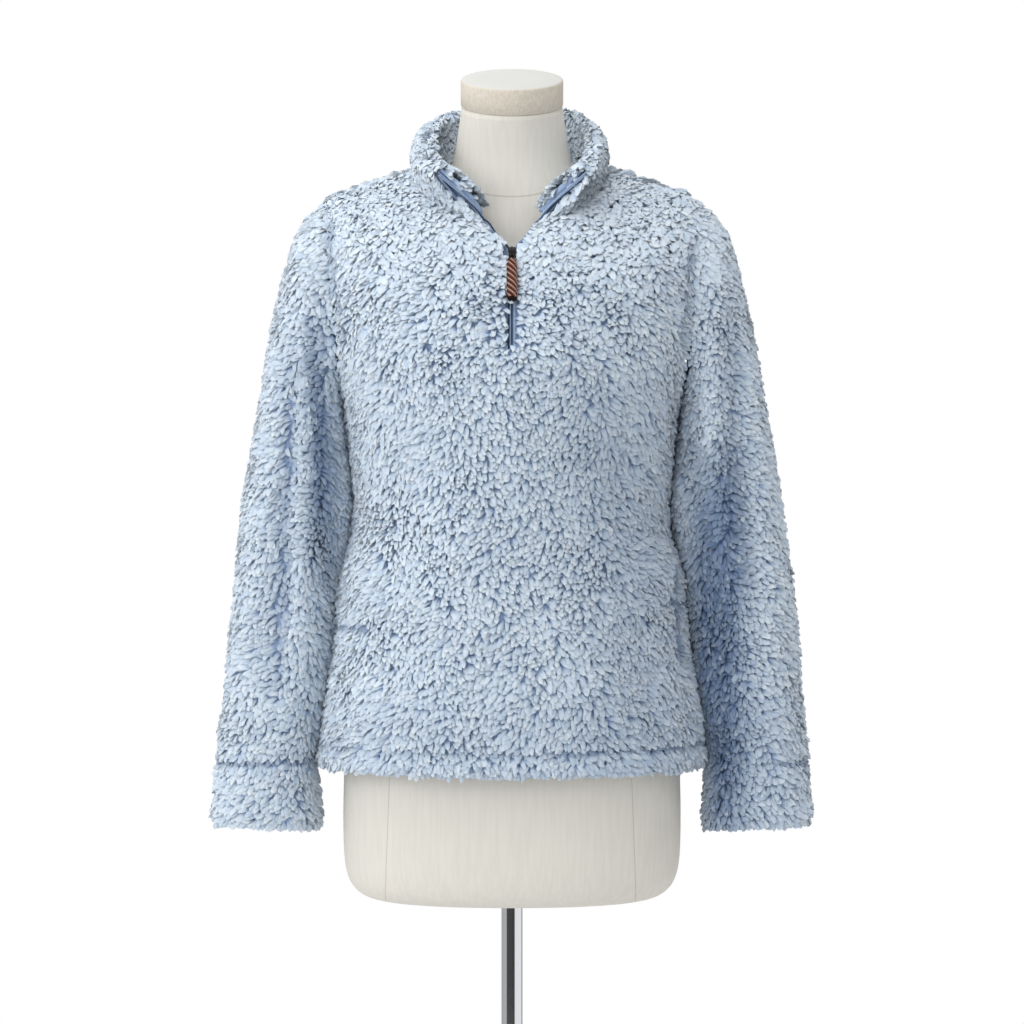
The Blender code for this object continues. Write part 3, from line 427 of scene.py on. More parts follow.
def make_backing(wall, material):
    """The cloth under the pile: the wall with its pile side sunk to the locks' roots."""
    sunk = wall.side == 1
    points = wall.points - wall.point_normals(sunk) * PILE_DEPTH
    mesh = array_mesh(wall.name + "_backing", points, wall.tris)
    work = bmesh.new()
    work.from_mesh(mesh)
    bmesh.ops.join_triangles(
        work, faces=work.faces, angle_face_threshold=math.radians(35), angle_shape_threshold=math.radians(50)
    )
    bmesh.ops.recalc_face_normals(work, faces=work.faces)
    work.to_mesh(mesh)
    work.free()
    mesh.shade_smooth()
    obj = add_piece(wall.name + "_cloth", mesh, material)
    smoothed(obj, 1)
    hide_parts(wall.name)
    return obj


# Pile


def spread_points(wall, chosen, normals, spacing, rng):
    """Places on the chosen triangles, none nearer to another than spacing, with their normals."""
    area = np.where(chosen, wall.areas, 0)
    count = int(CANDIDATES * area.sum() / spacing**2)
    picked = rng.choice(len(area), count, p=area / area.sum())
    u, v = rng.random((2, count, 1))
    over = u + v > 1
    u, v = np.where(over, 1 - u, u), np.where(over, 1 - v, v)
    a, b, c = (wall.tris[picked, k] for k in range(3))
    places = wall.points[a] * (1 - u - v) + wall.points[b] * u + wall.points[c] * v
    facing = unit(normals[a] * (1 - u - v) + normals[b] * u + normals[c] * v)
    kept = thin_out(places, spacing)
    return places[kept], facing[kept]


def thin_out(places, spacing):
    tree = tree_of(places)
    kept = np.ones(len(places), bool)
    for i, place in enumerate(places):
        if kept[i]:
            for _, j, _ in tree.find_range(place, spacing):
                kept[j] = j == i
    return kept


def tree_of(places):
    tree = KDTree(len(places))
    for i, place in enumerate(places):
        tree.insert(place, i)
    tree.balance()
    return tree


def segment_distance(x, z, start, end):
    """How far each (x, z) is from the segment."""
    run = np.array(end) - np.array(start)
    share = np.clip(((x - start[0]) * run[0] + (z - start[1]) * run[1]) / (run @ run), 0, 1)
    return np.hypot(x - start[0] - share * run[0], z - start[1] - share * run[1])


def crease_depth(name, places):
    """1 in a sewn crease, falling to 0 beside it; it shortens the locks there and sets their painted shade."""
    x, z = places[:, 0], places[:, 2]
    if name.startswith("collar"):
        return np.zeros(len(places))
    near = segment_distance(np.abs(x), z, *ARMHOLE_CREASE)
    armhole = 0.55 * np.exp(-((near / CREASE_WIDTH) ** 2)) * (places[:, 1] < 0)
    if name.startswith("sleeve"):
        return np.maximum(armhole, 0.75 * np.exp(-(((z - CUFF_CREASE) / CREASE_WIDTH) ** 2)))
    line = HEM_CREASE + HEM_CREASE_RISE * (x / 0.2) ** 2
    strength = 0.60 + 0.25 * np.tanh(x / 0.08)
    crease = strength * np.exp(-(((z - line) / CREASE_WIDTH) ** 2))
    if name == "front":
        crease = np.maximum(crease, armhole)
        for start, end in POCKET_CREASES:
            near = segment_distance(x, z, start, end)
            crease = np.maximum(crease, 0.8 * np.exp(-((near / CREASE_WIDTH) ** 2)))
    return crease


def fold_height(name, places, forward):
    """How far the cloth stands out at each place: long folds at the front, and a slow swell."""
    z = places[:, 2]
    swell = SWELL_DEPTH * drift(places, SWELL_SIZE, 5) * np.clip((YOKE_HEIGHT - 0.04 - z) / 0.1, 0, 1)
    return swell * np.clip((z - HEM_CREASE) / 0.05, 0, 1) - fold_sum(name, places, forward, "depth")


def fold_sum(name, places, forward, column):
    """One value of the piece's folds, full along each fold's middle and falling off across it."""
    x, z = places[:, 0], places[:, 2]
    total = np.zeros(len(places))
    for fold in (dict(zip(FOLD_COLUMNS, row)) for row in FOLDS):
        if fold["piece"] == name:
            (top_x, top_z), (low_x, low_z) = fold["top"], fold["bottom"]
            share = np.clip((top_z - z) / (top_z - low_z), 0, 1)
            across = (x - top_x - (low_x - top_x) * share) / fold["width"]
            total += fold[column] * np.exp(-(across**2)) * np.sqrt(np.sin(math.pi * share)) * forward
    return total


def nap(name, places, facing):
    """Which way the pile lies, along the cloth: down and outward, up the folds' sides, with swirls."""
    forward = np.clip(-1.5 * facing[:, 1], 0, 1)
    step = np.array([FOLD_STEP, 0, 0])
    slope = fold_height(name, places + step, forward) - fold_height(name, places - step, forward)
    inward = np.clip((places[:, 2] - 1.02) / 0.06, 0, 1) * np.clip((np.abs(places[:, 0]) - 0.03) / 0.03, 0, 1)
    outward = 0.40 - 0.85 * inward * (name == "front")
    down = np.array([0, 0, -1.0]) + outward[:, None] * unit(places * np.array([1, 1, 0]))
    down[:, 0] += 2.2 * slope / (2 * FOLD_STEP)
    along = unit(down - facing * np.sum(down * facing, axis=1, keepdims=True))
    across = np.cross(facing, along)
    reach = 0.28 if name.startswith("sleeve") else 0.46
    reach *= 1 - 0.6 * smooth_share(name, places)
    turn = np.clip(reach * drift(places, 0.085, 11) + 0.24 * drift(places, 0.030, 12), -MOST_SWIRL, MOST_SWIRL)
    return along * np.cos(turn)[:, None] + across * np.sin(turn)[:, None]


def smooth_share(name, places):
    """1 where the pile lies short and flat, as on the shoulders and the collar, and 0 below them."""
    if name.startswith("collar"):
        return np.full(len(places), 0.9)
    return np.clip((places[:, 2] - FLAT_FROM) / FLAT_OVER, 0, 1)


def beside_sleeve(places, facing):
    """1 where body and sleeve face each other closely, so that their pile meets."""
    x, z = places[:, 0], places[:, 2]
    total = np.zeros(len(places))
    for side, middle, top in SIDE_GAPS:
        low = np.clip((top - z) / 0.04, 0, 1)
        total += low * np.clip((0.045 - np.abs(side * x - middle)) / 0.01, 0, 1)
    return total * np.clip(2 * np.abs(facing[:, 0]) - 0.6, 0, 1)


def lock_points(places, facing, lie, length, girth, start, tilt, gather, turn):
    """Points and shading normals of all locks, each a bent, tapering tube of three rings and a tip."""
    points, normals = [], []
    side = unit(np.cross(facing, lie))
    for station in LOCK_STATIONS:
        angle = start + (tilt - start) * station
        rise = (np.sin(angle) - np.sin(start)) / (tilt - start)
        run = (np.cos(start) - np.cos(angle)) / (tilt - start)
        centre = places + (facing * rise[:, None] + lie * run[:, None]) * length[:, None] + gather * station**1.6
        if station == 1.0:
            points.append(centre[:, None, :])
            normals.append(facing[:, None, :])
            continue
        heading = facing * np.cos(angle)[:, None] + lie * np.sin(angle)[:, None]
        third = np.cross(side, heading)
        radius = girth * LOCK_GIRTHS[LOCK_STATIONS.index(station)]
        spin = turn[:, None] + 2 * math.pi * np.arange(LOCK_SIDES)[None, :] / LOCK_SIDES
        ring = side[:, None, :] * np.cos(spin)[..., None] * 1.12 + third[:, None, :] * np.sin(spin)[..., None] * 0.92
        points.append(centre[:, None, :] + ring * radius[:, None, None])
        normals.append(unit(facing[:, None, :] + LOCK_ROUNDNESS * ring))
    return np.concatenate(points, axis=1), np.concatenate(normals, axis=1)


def lock_faces(count):
    """Quads of the bands, and the triangles of the tips and roots."""
    n = LOCK_SIDES
    rings = len(LOCK_STATIONS) - 1
    quads = [
        (r * n + k, (r + 1) * n + k, (r + 1) * n + (k + 1) % n, r * n + (k + 1) % n)
        for r in range(rings - 1)
        for k in range(n)
    ]
    last = (rings - 1) * n
    tips = [(last + (k + 1) % n, last + k, rings * n) for k in range(n)] + [(0, 1, 2)]
    shift = (np.arange(count) * (rings * n + 1))[:, None, None]
    return (np.array(quads)[None] + shift).reshape(-1, 4), (np.array(tips)[None] + shift).reshape(-1, 3)


def trimmed(points, zip_lines):
    """True for the locks that no zip line runs under."""
    tips = points[:, LOCK_SIDES :: LOCK_SIDES]
    kept = np.ones(len(points), bool)
    for tree in zip_lines:
        for i in np.nonzero(kept)[0]:
            kept[i] = all(tree.find(Vector(tip))[2] > ZIP_CLEAR for tip in tips[i])
    return kept


def hem_share(wall, places):
    """Share of its length that each lock keeps, so that the hem's pile hangs little below the cloth."""
    if wall.name.startswith("collar"):
        return np.ones(len(places))
    rim = wall.middles[wall.edge_rims()]
    tree = tree_of(rim * np.array([1, 1, 0]))
    lowest = np.array([rim[tree.find(Vector((x, y, 0)))[1], 2] for x, y, _ in places])
    near, far = HEM_REACH
    return np.clip((places[:, 2] - lowest + near) / far, HEM_LEAST, 1)


def make_pile(wall, material, seed, zip_lines):
    """All the locks of one cloth piece, in as few objects as their size allows."""
    rng = np.random.default_rng(seed)
    chosen = (wall.side == 1) | wall.edge_rims()
    normals = wall.point_normals(chosen)
    size = dict(zip(PILE_COLUMNS, PILE[wall.name]))
    places, facing = spread_points(wall, chosen, normals, size["spacing"], rng)
    flat = smooth_share(wall.name, places)
    roots = places - facing * (PILE_DEPTH - FLAT_RISE * flat - SIDE_RISE * beside_sleeve(places, facing))[:, None]
    hearts = rng.permutation(len(roots))
    hearts = hearts[thin_out(roots[hearts], size["clump"])]
    tree = tree_of(roots[hearts])
    clump = np.array([tree.find(root)[1] for root in roots])
    count = len(roots)

    heart_lie = nap(wall.name, roots[hearts], facing[hearts])
    heart_tilt = 1.22 + 0.14 * drift(roots[hearts], 0.05, 21) + 0.10 * rng.normal(size=len(hearts))
    if wall.name == "front":
        x, z = roots[hearts, 0], roots[hearts, 2]
        heart_tilt -= 0.35 * np.exp(-(((x - 0.02) / 0.08) ** 2) - ((z - 0.86) / 0.16) ** 2)
    heart_tilt += 0.24 * flat[hearts]
    lie = heart_lie[clump]
    wobble = 0.35 * rng.normal(size=count)
    across = np.cross(facing, lie)
    lie = lie * np.cos(wobble)[:, None] + across * np.sin(wobble)[:, None]
    lie = unit(lie - facing * np.sum(lie * facing, axis=1, keepdims=True))
    painted_root_light = ROOT_PAINTED_LIGHT * flat
    start = LOCK_START + FLAT_START * flat
    tilt = np.clip(heart_tilt[clump] + 0.12 * rng.normal(size=count), start + 0.15, 1.6)
    crease = crease_depth(wall.name, places)
    # Painted shade: locks darkened along fold valleys, in broad patches and in sewn creases
    valley_shade = fold_sum(wall.name, places, np.clip(-1.5 * facing[:, 1], 0, 1), "shade").clip(0, 1)
    shade = np.maximum(crease, valley_shade * (0.92 + 0.12 * rng.normal(size=count)).clip(0, 1))
    length = size["length"] * (1 + 0.12 * rng.normal(size=count).clip(-2, 2)) * (1 - 0.42 * crease)
    length *= hem_share(wall, places)
    girth = size["radius"] * (0.85 + 0.35 * rng.random(count)) * (1 + FLAT_GIRTH * flat)
    toward = roots[hearts][clump] - roots
    toward -= facing * np.sum(toward * facing, axis=1, keepdims=True)
    gather = toward * CLUMP_PULL
    turn = math.pi / 2 + LOCK_SPIN * rng.normal(size=count)
    tone = np.clip(0.5 + 0.22 * drift(roots, 0.012, 31) + 0.16 * rng.normal(size=count), 0, 1)
    points, shading = lock_points(roots, facing, lie, length, girth, start, tilt, gather, turn)
    soft = SOFT_PILE.get(wall.name, 0) * flat
    shading = unit(shading + soft[:, None, None] * unit(np.array(SKY_FROM)))
    if wall.name in ("front", "collar", "collar_facing"):
        kept = trimmed(points, zip_lines)
        if wall.name == "collar_facing":
            kept &= (roots[:, 2] > FACING_FOOT) | (np.abs(roots[:, 0]) > FACING_REACH)
        points, shading, tone, shade, length, painted_root_light = (a[kept] for a in (points, shading, tone, shade, length, painted_root_light))
        count = len(points)
    made = []
    for number, part in enumerate(np.array_split(np.arange(count), math.ceil(count / MOST_LOCKS))):
        quads, tips = lock_faces(len(part))
        mesh = array_mesh(f"{wall.name}_pile_{number + 1}", points[part].reshape(-1, 3), quads, tips)
        mesh.normals_split_custom_set_from_vertices(shading[part].reshape(-1, 3))
        paint_locks(mesh, tone[part], shade[part], length[part], painted_root_light[part], rng)
        made.append(add_piece(mesh.name, mesh, material))
    return made


def paint_locks(mesh, tone, shade, length, painted_root_light, rng):
    """Gives each point its place along the lock, with the roots of flat pile painted paler as painted light in their
    crevices, the lock's tone, its painted shade, and fibre coordinates.
    """
    sides, stations = LOCK_SIDES, LOCK_STATIONS
    along = np.array([s for s in stations[:-1] for _ in range(sides)] + [1.0])
    around = np.array([k for _ in stations[:-1] for k in range(sides)] + [1.0])
    count, size = len(tone), len(along)
    colour = np.ones((count, size, 4), np.float32)
    # Painted light: roots of flat pile take a paler place on the colour ramp
    colour[..., 0] = along + (1 - along) * painted_root_light[:, None]
    colour[..., 1] = tone[:, None]
    colour[..., 2] = shade[:, None]
    mesh.attributes.new("pile", "FLOAT_COLOR", "POINT").data.foreach_set("color", colour.ravel())
    offset = 40 * rng.random((count, 1, 3))
    fibre = np.zeros((count, size, 3), np.float32)
    fibre[..., 0] = around * 3.5
    fibre[..., 1] = along * length[:, None] * FIBRE_PACE
    fibre += offset
    mesh.attributes.new("fibre", "FLOAT_VECTOR", "POINT").data.foreach_set("vector", fibre.ravel())


SHEETS = {
    "front": ((0.52, 0.66), 0.285, ["dress_form"]),
    "back": ((0.48, 0.66), 0.285, ["dress_form"]),
    "sleeve_left": ((0.40, 0.66), 0.170, ["back_cloth"]),
    "sleeve_right": ((0.40, 0.66), 0.170, ["back_cloth"]),
    "collar": ((0.42, 0.068), None, ["back_cloth"]),
    "collar_facing": ((0.40, 0.068), None, ["collar_cloth"]),
}


def make_jacket(zip_lines):
    pile, ground = pile_material(), backing_material()
    walls = {name: Wall(name) for name in SHEETS}
    for number, (name, (flat, area, rests_on)) in enumerate(SHEETS.items()):
        wall = walls[name]
        cloth = make_backing(wall, ground)
        locks = make_pile(wall, pile, 100 + number, zip_lines)


# Zip and pull


def swept(name, path, out, profile):
    """A closed tube along a path. The profile's points go across it and out from it."""
    along = unit(np.gradient(path, axis=0))
    across = unit(np.cross(along, out))
    out = np.cross(across, along)
    profile = np.array(profile)
    rings = path[:, None] + across[:, None] * profile[None, :, :1] + out[:, None] * profile[None, :, 1:]
    n, count = len(profile), len(path)
    quads = [
        (r * n + k, r * n + (k + 1) % n, (r + 1) * n + (k + 1) % n, (r + 1) * n + k)
        for r in range(count - 1)
        for k in range(n)
    ]
    ends = [tuple(range(n))[::-1], tuple((count - 1) * n + k for k in range(n))]
    mesh = array_mesh(name, rings.reshape(-1, 3), np.array(quads), np.array(ends))
    work = bmesh.new()
    work.from_mesh(mesh)
    bmesh.ops.recalc_face_normals(work, faces=work.faces)
    work.to_mesh(mesh)
    work.free()
    mesh.shade_smooth()
    return mesh


def oval(half_width, half_height, sides=10, centre=(0, 0)):
    turns = 2 * math.pi * np.arange(sides) / sides
    return np.stack([centre[0] + half_width * np.cos(turns), centre[1] + half_height * np.sin(turns)], axis=1)


def resampled(path, step, rounds):
    """The path at equal steps, with its corners eased."""
    reach = np.concatenate([[0], np.cumsum(np.linalg.norm(np.diff(path, axis=0), axis=1))])
    at = np.linspace(0, reach[-1], max(2, round(reach[-1] / step)))
    path = np.stack([np.interp(at, reach, path[:, k]) for k in range(path.shape[1])], axis=1)
    for _ in range(rounds):
        path[1:-1] = (path[:-2] + path[1:-1] * 2 + path[2:]) / 4
    return path


def tape_edge(name):
    """The zip edge of a tape from its foot up, the way out from it, and the way across the tape."""
    points, tris = welded(name)
    ends = np.concatenate([tris[:, [0, 1]], tris[:, [1, 2]], tris[:, [2, 0]]])
    ends = np.unique(np.sort(ends, axis=1), axis=0)
    a, b = points[ends[:, 0]], points[ends[:, 1]]
    reach = np.linalg.norm(a - b, axis=1)
    rows = (np.abs(reach - TAPE_WIDTH) < 0.00003) & (np.abs(a[:, 0] - b[:, 0]) > 0.0035)
    a, b = a[rows], b[rows]
    swap = np.abs(a[:, 0]) > np.abs(b[:, 0])
    edge, tuck = np.where(swap[:, None], b, a), np.where(swap[:, None], a, b)
    order = np.argsort(edge[:, 2])
    edge, tuck = edge[order], tuck[order]
    both = np.concatenate([edge, tuck - edge], axis=1)
    both = resampled((both[0::2] + both[1::2]) / 2, ZIP_STEP, 6)
    edge, across = both[:, :3], unit(both[:, 3:])
    out = unit(np.cross(np.gradient(edge, axis=0), across))
    out *= np.where(np.sum(out * edge * np.array([1, 1, 0]), axis=1) < 0, -1, 1)[:, None]
    return edge, out, across


def zip_edges():
    return {side: tape_edge("zip_tape_" + side) for side in ("left", "right")}


def zip_trees(edges):
    """Search trees of the lines that the pile keeps clear of."""
    lines = [edge + across * BAND_MIDDLE + out * BAND_LIFT for edge, out, across in edges.values()]
    return [tree_of(points) for points in (*lines, welded("zip_slider")[0], welded("slider_bridge")[0])]


def make_zip(edges):
    """Satin bands beside the zip's edges, near-black lines of painted shadow beside them, and two rows of teeth."""
    satin = fabric_material("zip_satin", (0.27, 0.38, 0.56), (0.42, 0.54, 0.70), 2600.0)
    painted_coil_shadow = fabric_material("zip_coil_painted_shadow", (0.010, 0.020, 0.048), (0.020, 0.036, 0.080), 2600.0)
    nylon = plastic_material("zip_teeth", (0.30, 0.42, 0.62))
    for side, (edge, out, across) in edges.items():
        sign = 1 if side == "left" else -1
        closed = edge[:, 2] < SLIDER_FOOT
        line_at = np.where(closed, PAINTED_SHADOW_LINE_CLOSED[side], PAINTED_SHADOW_LINE[side])[:, None]
        band = swept("band", edge + across * BAND_MIDDLE + out * BAND_LIFT, out, oval(0.0021, 0.0007))
        # Painted shadow: a near-black tube along each band where the coil shades the tape
        line = swept("line", edge + across * line_at + out * (BAND_LIFT + 0.0008), out, oval(0.0010, 0.0008, 8))
        add_piece("zip_band_" + side, band, satin)
        add_piece("zip_painted_shadow_" + side, line, painted_coil_shadow)
        teeth = resampled(np.concatenate([edge, out, across], axis=1), TOOTH_PITCH, 0)
        points, faces = [], []
        for number, row in enumerate(teeth):
            place, outward, aside = row[:3], unit(row[3:6]), unit(row[6:9])
            up = np.cross(outward, aside) * sign
            middle = place + outward * (BAND_LIFT + 0.0004) - aside * 0.0002
            for x, y, z in TOOTH_CORNERS:
                points.append(middle + aside * x * 0.0013 + up * y * TOOTH_PITCH * 0.30 + outward * z * 0.0007)
            faces += [[8 * number + c for c in face] for face in TOOTH_FACES]
        mesh = array_mesh("teeth", np.array(points), np.array(faces))
        add_piece("zip_teeth_" + side, mesh, nylon)


def make_grip():
    """The pull's grip: laces twisted round each other, each with a painted highlight along one edge."""
    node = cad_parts["pull_grip"]
    corners = np.array([node.matrix_world @ Vector(p) for p in welded("pull_grip")[0]])
    level = (corners[:, 2] - corners[:, 2].min()) / np.ptp(corners[:, 2])
    top, foot = corners[level > 0.93].mean(axis=0), corners[level < 0.07].mean(axis=0)
    rings, around = 72, 60
    t = np.linspace(0, 1, rings)[:, None]
    turn = 2 * math.pi * np.arange(around)[None, :] / around
    axis = unit(foot - top)
    length = np.linalg.norm(foot - top)
    first = np.array([1.0, 0, 0])
    second = np.cross(axis, first)
    phase = (turn / (2 * math.pi) * GRIP_STRANDS + t * length / GRIP_PITCH * GRIP_STRANDS) % 1
    lobe = np.sin(math.pi * phase) ** 0.6
    shape = np.interp(t, GRIP_PROFILE_AT, GRIP_PROFILE)
    radius = GRIP_RADIUS * shape * (0.80 + 0.20 * lobe)
    ring = first * np.cos(turn)[..., None] + second * np.sin(turn)[..., None]
    points = top + axis * (t * length)[..., None] + ring * radius[..., None]
    n = around
    quads = [
        (r * n + k, r * n + (k + 1) % n, (r + 1) * n + (k + 1) % n, (r + 1) * n + k)
        for r in range(rings - 1)
        for k in range(n)
    ]
    ends = [tuple(range(n))[::-1], tuple((rings - 1) * n + k for k in range(n))]
    mesh = array_mesh("grip", points.reshape(-1, 3), np.array(quads), np.array(ends))
    # The foot's last rings take the darkest groove colour
    strand = np.where(t > 0.95, 0, phase).astype(np.float32)
    mesh.attributes.new("strand", "FLOAT", "POINT").data.foreach_set("value", strand.ravel())
    obj = add_piece("grip_laces", mesh, lace_material(), body=PULL)
    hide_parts("pull_grip")


def lace_material():
    """Dark waxed laces with painted shade in their grooves, a painted highlight along one flank, and fine fibres."""
    m = Nodes("grip_lace")
    phase = m.add("Attribute", attribute_name="strand")
    colour = m.ramp(phase.outputs["Fac"], LACE_STOPS)
    place = m.add("TexCoord")
    fibres = m.add("TexNoise", {"Vector": place.outputs["Object"]}, Scale=1500.0, Detail=3.0)
    worn = m.mix(1.0, colour.outputs[0], m.ramp(fibres.outputs["Fac"], ((0.3, (0.75,) * 3), (0.7, (1.2,) * 3))).outputs[0],
                 "MULTIPLY")
    bump = m.add("Bump", {"Height": fibres.outputs["Fac"]}, Strength=0.4, Distance=0.0003)
    return m.surface(worn, bump, Roughness=0.6, Specular_IOR_Level=0.15)


def fabric_material(name, dark, light, scale):
    """Fine satin weave: short floats across the length, with a slow change of tone."""
    m = Nodes(name)
    place = m.add("TexCoord")
    weave = m.add("TexWave", {"Vector": place.outputs["Object"]}, bands_direction="Z", Scale=scale / 6, Distortion=1.5)
    tone = m.add("TexNoise", {"Vector": place.outputs["Object"]}, Scale=220.0, Detail=2.0)
    colour = m.ramp(tone.outputs["Fac"], ((0.3, dark), (0.7, light)))
    bump = m.add("Bump", {"Height": weave.outputs["Fac"]}, Strength=0.3, Distance=0.0002)
    return m.surface(colour, bump, Roughness=0.55, Sheen_Weight=0.2, Specular_IOR_Level=0.35)


def plastic_material(name, base):
    m = Nodes(name)
    place = m.add("TexCoord")
    haze = m.add("TexNoise", {"Vector": place.outputs["Object"]}, Scale=500.0, Detail=2.0)
    colour = m.ramp(haze.outputs["Fac"], ((0.3, tuple(0.85 * c for c in base)), (0.7, tuple(1.1 * c for c in base))))
    bump = m.add("Bump", {"Height": haze.outputs["Fac"]}, Strength=0.15, Distance=0.0001)
    return m.surface(colour, bump, Roughness=0.35)


# Dress form and stand


def line_mask(m, position, direction, level, width):
    """1 on the plane where the position along the direction is at the level, 0 beside it."""
    along = m.add("VectorMath", {0: position}, operation="DOT_PRODUCT")
    along.inputs[1].default_value = direction
    off = m.add("Math", {0: along.outputs["Value"]}, operation="SUBTRACT")
    off.inputs[1].default_value = level
    near = m.add("Math", {0: off.outputs[0]}, operation="ABSOLUTE")
    return m.add("MapRange", {"Value": near.outputs[0]}, From_Min=0.0, From_Max=width, To_Min=1.0, To_Max=0.0).outputs[0]


def linen_material(name, warm, seams=()):
    """Fine plain linen: crossed threads, slubs along them, and sewn seams."""
    m = Nodes(name)
    place = m.add("TexCoord")
    position = place.outputs["Object"]
    upright = m.add("TexWave", {"Vector": position}, bands_direction="X", Scale=THREADS, Distortion=1.2, Detail=1.0)
    level = m.add("TexWave", {"Vector": position}, bands_direction="Z", Scale=THREADS, Distortion=1.2, Detail=1.0)
    cloth = m.add("Math", {0: upright.outputs["Fac"], 1: level.outputs["Fac"]}, operation="ADD")
    stretched = m.add("Mapping", {"Vector": position}, Scale=(260, 260, 22))
    streaks = m.add("TexNoise", {"Vector": stretched.outputs[0]}, Scale=1.0, Detail=3.0)
    pale = tuple(min(1.0, 1.025 * c) for c in warm)
    colour = m.ramp(streaks.outputs["Fac"], ((0.35, tuple(0.975 * c for c in warm)), (0.65, pale))).outputs[0]
    for direction, height, width in seams:
        mask = line_mask(m, position, direction, height, width)
        colour = m.mix(mask, colour, m.mix(1.0, colour, SEAM_TINT, "MULTIPLY"))
    bump = m.add("Bump", {"Height": cloth.outputs[0]}, Strength=0.25, Distance=0.0002)
    return m.surface(colour, bump, Roughness=0.9, Sheen_Weight=0.05, Specular_IOR_Level=0.2)


def metal_material(name, colour, roughness):
    m = Nodes(name)
    place = m.add("TexCoord")
    haze = m.add("TexNoise", {"Vector": place.outputs["Object"]}, Scale=60.0, Detail=4.0)
    spread = m.add("MapRange", {"Value": haze.outputs["Fac"]}, To_Min=roughness * 0.7, To_Max=roughness * 1.4)
    m.join(spread, m.shader.inputs["Roughness"])
    m.shader.inputs["Metallic"].default_value = 1.0
    return m.surface(colour)


def make_form():
    """The covered form: flat ends kept whole, with a firm edge at the neck's top."""
    points, tris = welded("dress_form")
    mesh = array_mesh("form_body", points, tris)
    work = bmesh.new()
    work.from_mesh(mesh)
    bmesh.ops.dissolve_limit(work, angle_limit=math.radians(0.5), verts=work.verts, edges=work.edges)
    sides = [face for face in work.faces if len(face.verts) == 3]
    bmesh.ops.join_triangles(
        work, faces=sides, angle_face_threshold=math.radians(40), angle_shape_threshold=math.radians(60)
    )
    firm = work.edges.layers.float.new("crease_edge")
    ends = [face for face in work.faces if len(face.verts) > 8]
    top = max(ends, key=lambda face: face.calc_center_median().z)
    for edge in top.edges:
        edge[firm] = 1.0
    work.to_mesh(mesh)
    work.free()
    mesh.shade_smooth()
    cover = linen_material("linen_cover", (0.730, 0.700, 0.636), FORM_SEAMS)
    smoothed(add_piece("form_body", mesh, cover), 2)
    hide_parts("dress_form")


def make_cap():
    """The neck cap turned about its tilted axis: a wrapped band, and a paler flat top."""
    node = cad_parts["neck_cap"]
    corners = np.array([node.matrix_world @ Vector(p) for p in welded("neck_cap")[0]])
    axis = np.array([0, -math.sin(CAP_TILT), math.cos(CAP_TILT)])
    level = corners @ axis
    middle = corners.mean(axis=0) - axis * (corners.mean(axis=0) @ axis)
    foot, top = level.min(), level.max() + CAP_RISE
    beside = np.array([1.0, 0, 0])
    forward = np.cross(axis, beside)
    spokes = corners - middle - level[:, None] * axis
    radius = np.linalg.norm(spokes, axis=1).max()
    rim = CAP_RIM
    turned = [(radius - 0.4 * rim, foot), (radius, foot + 0.4 * rim), (radius, (foot + top) / 2), (radius, top - rim)]
    turned += [(radius - 0.3 * rim, top - 0.3 * rim), (radius - rim, top), (0.5 * radius, top + CAP_CROWN)]
    turns = 2 * math.pi * np.arange(CAP_SIDES) / CAP_SIDES
    spoke = beside * np.cos(turns)[:, None] + forward * np.sin(turns)[:, None]
    rings = np.array([middle + axis * height + spoke * r for r, height in turned])
    crown = (middle + axis * (top + 1.3 * CAP_CROWN))[None]
    n, last = CAP_SIDES, (len(turned) - 1) * CAP_SIDES
    quads = [
        (r * n + k, r * n + (k + 1) % n, (r + 1) * n + (k + 1) % n, (r + 1) * n + k)
        for r in range(len(turned) - 1)
        for k in range(n)
    ]
    lid = [(last + k, last + (k + 1) % n, len(turned) * n) for k in range(n)]
    mesh = array_mesh("cap", np.concatenate([rings.reshape(-1, 3), crown]), np.array(quads), np.array(lid),
                      np.array([tuple(range(n))[::-1]]))
    on_top = np.repeat([height >= top - 1e-6 for _, height in turned], n).astype(np.float32)
    mesh.attributes.new("lid", "FLOAT", "POINT").data.foreach_set("value", np.append(on_top, 1).astype(np.float32))
    add_piece("cap_cover", mesh, cap_material())
    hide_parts("neck_cap")


def cap_material():
    """Beige wrapped band with fine upright threads, and a smooth ivory top."""
    m = Nodes("cap_linen_cover")
    position = m.add("TexCoord").outputs["Object"]
    stretched = m.add("Mapping", {"Vector": position}, Scale=(900, 900, 14))
    threads = m.add("TexNoise", {"Vector": stretched.outputs[0]}, Scale=1.0, Detail=4.0)
    band = m.ramp(threads.outputs["Fac"], ((0.35, (0.640, 0.580, 0.485)), (0.65, (0.750, 0.690, 0.595))))
    grain = m.add("TexNoise", {"Vector": position}, Scale=900.0, Detail=2.0)
    lid = m.ramp(grain.outputs["Fac"], ((0.3, (0.685, 0.682, 0.650)), (0.7, (0.708, 0.706, 0.676))))
    place = m.add("Attribute", attribute_name="lid")
    colour = m.mix(place.outputs["Fac"], band.outputs[0], lid.outputs[0])
    bump = m.add("Bump", {"Height": threads.outputs["Fac"]}, Strength=0.25, Distance=0.0002)
    return m.surface(colour, bump, Roughness=0.85, Specular_IOR_Level=0.25)


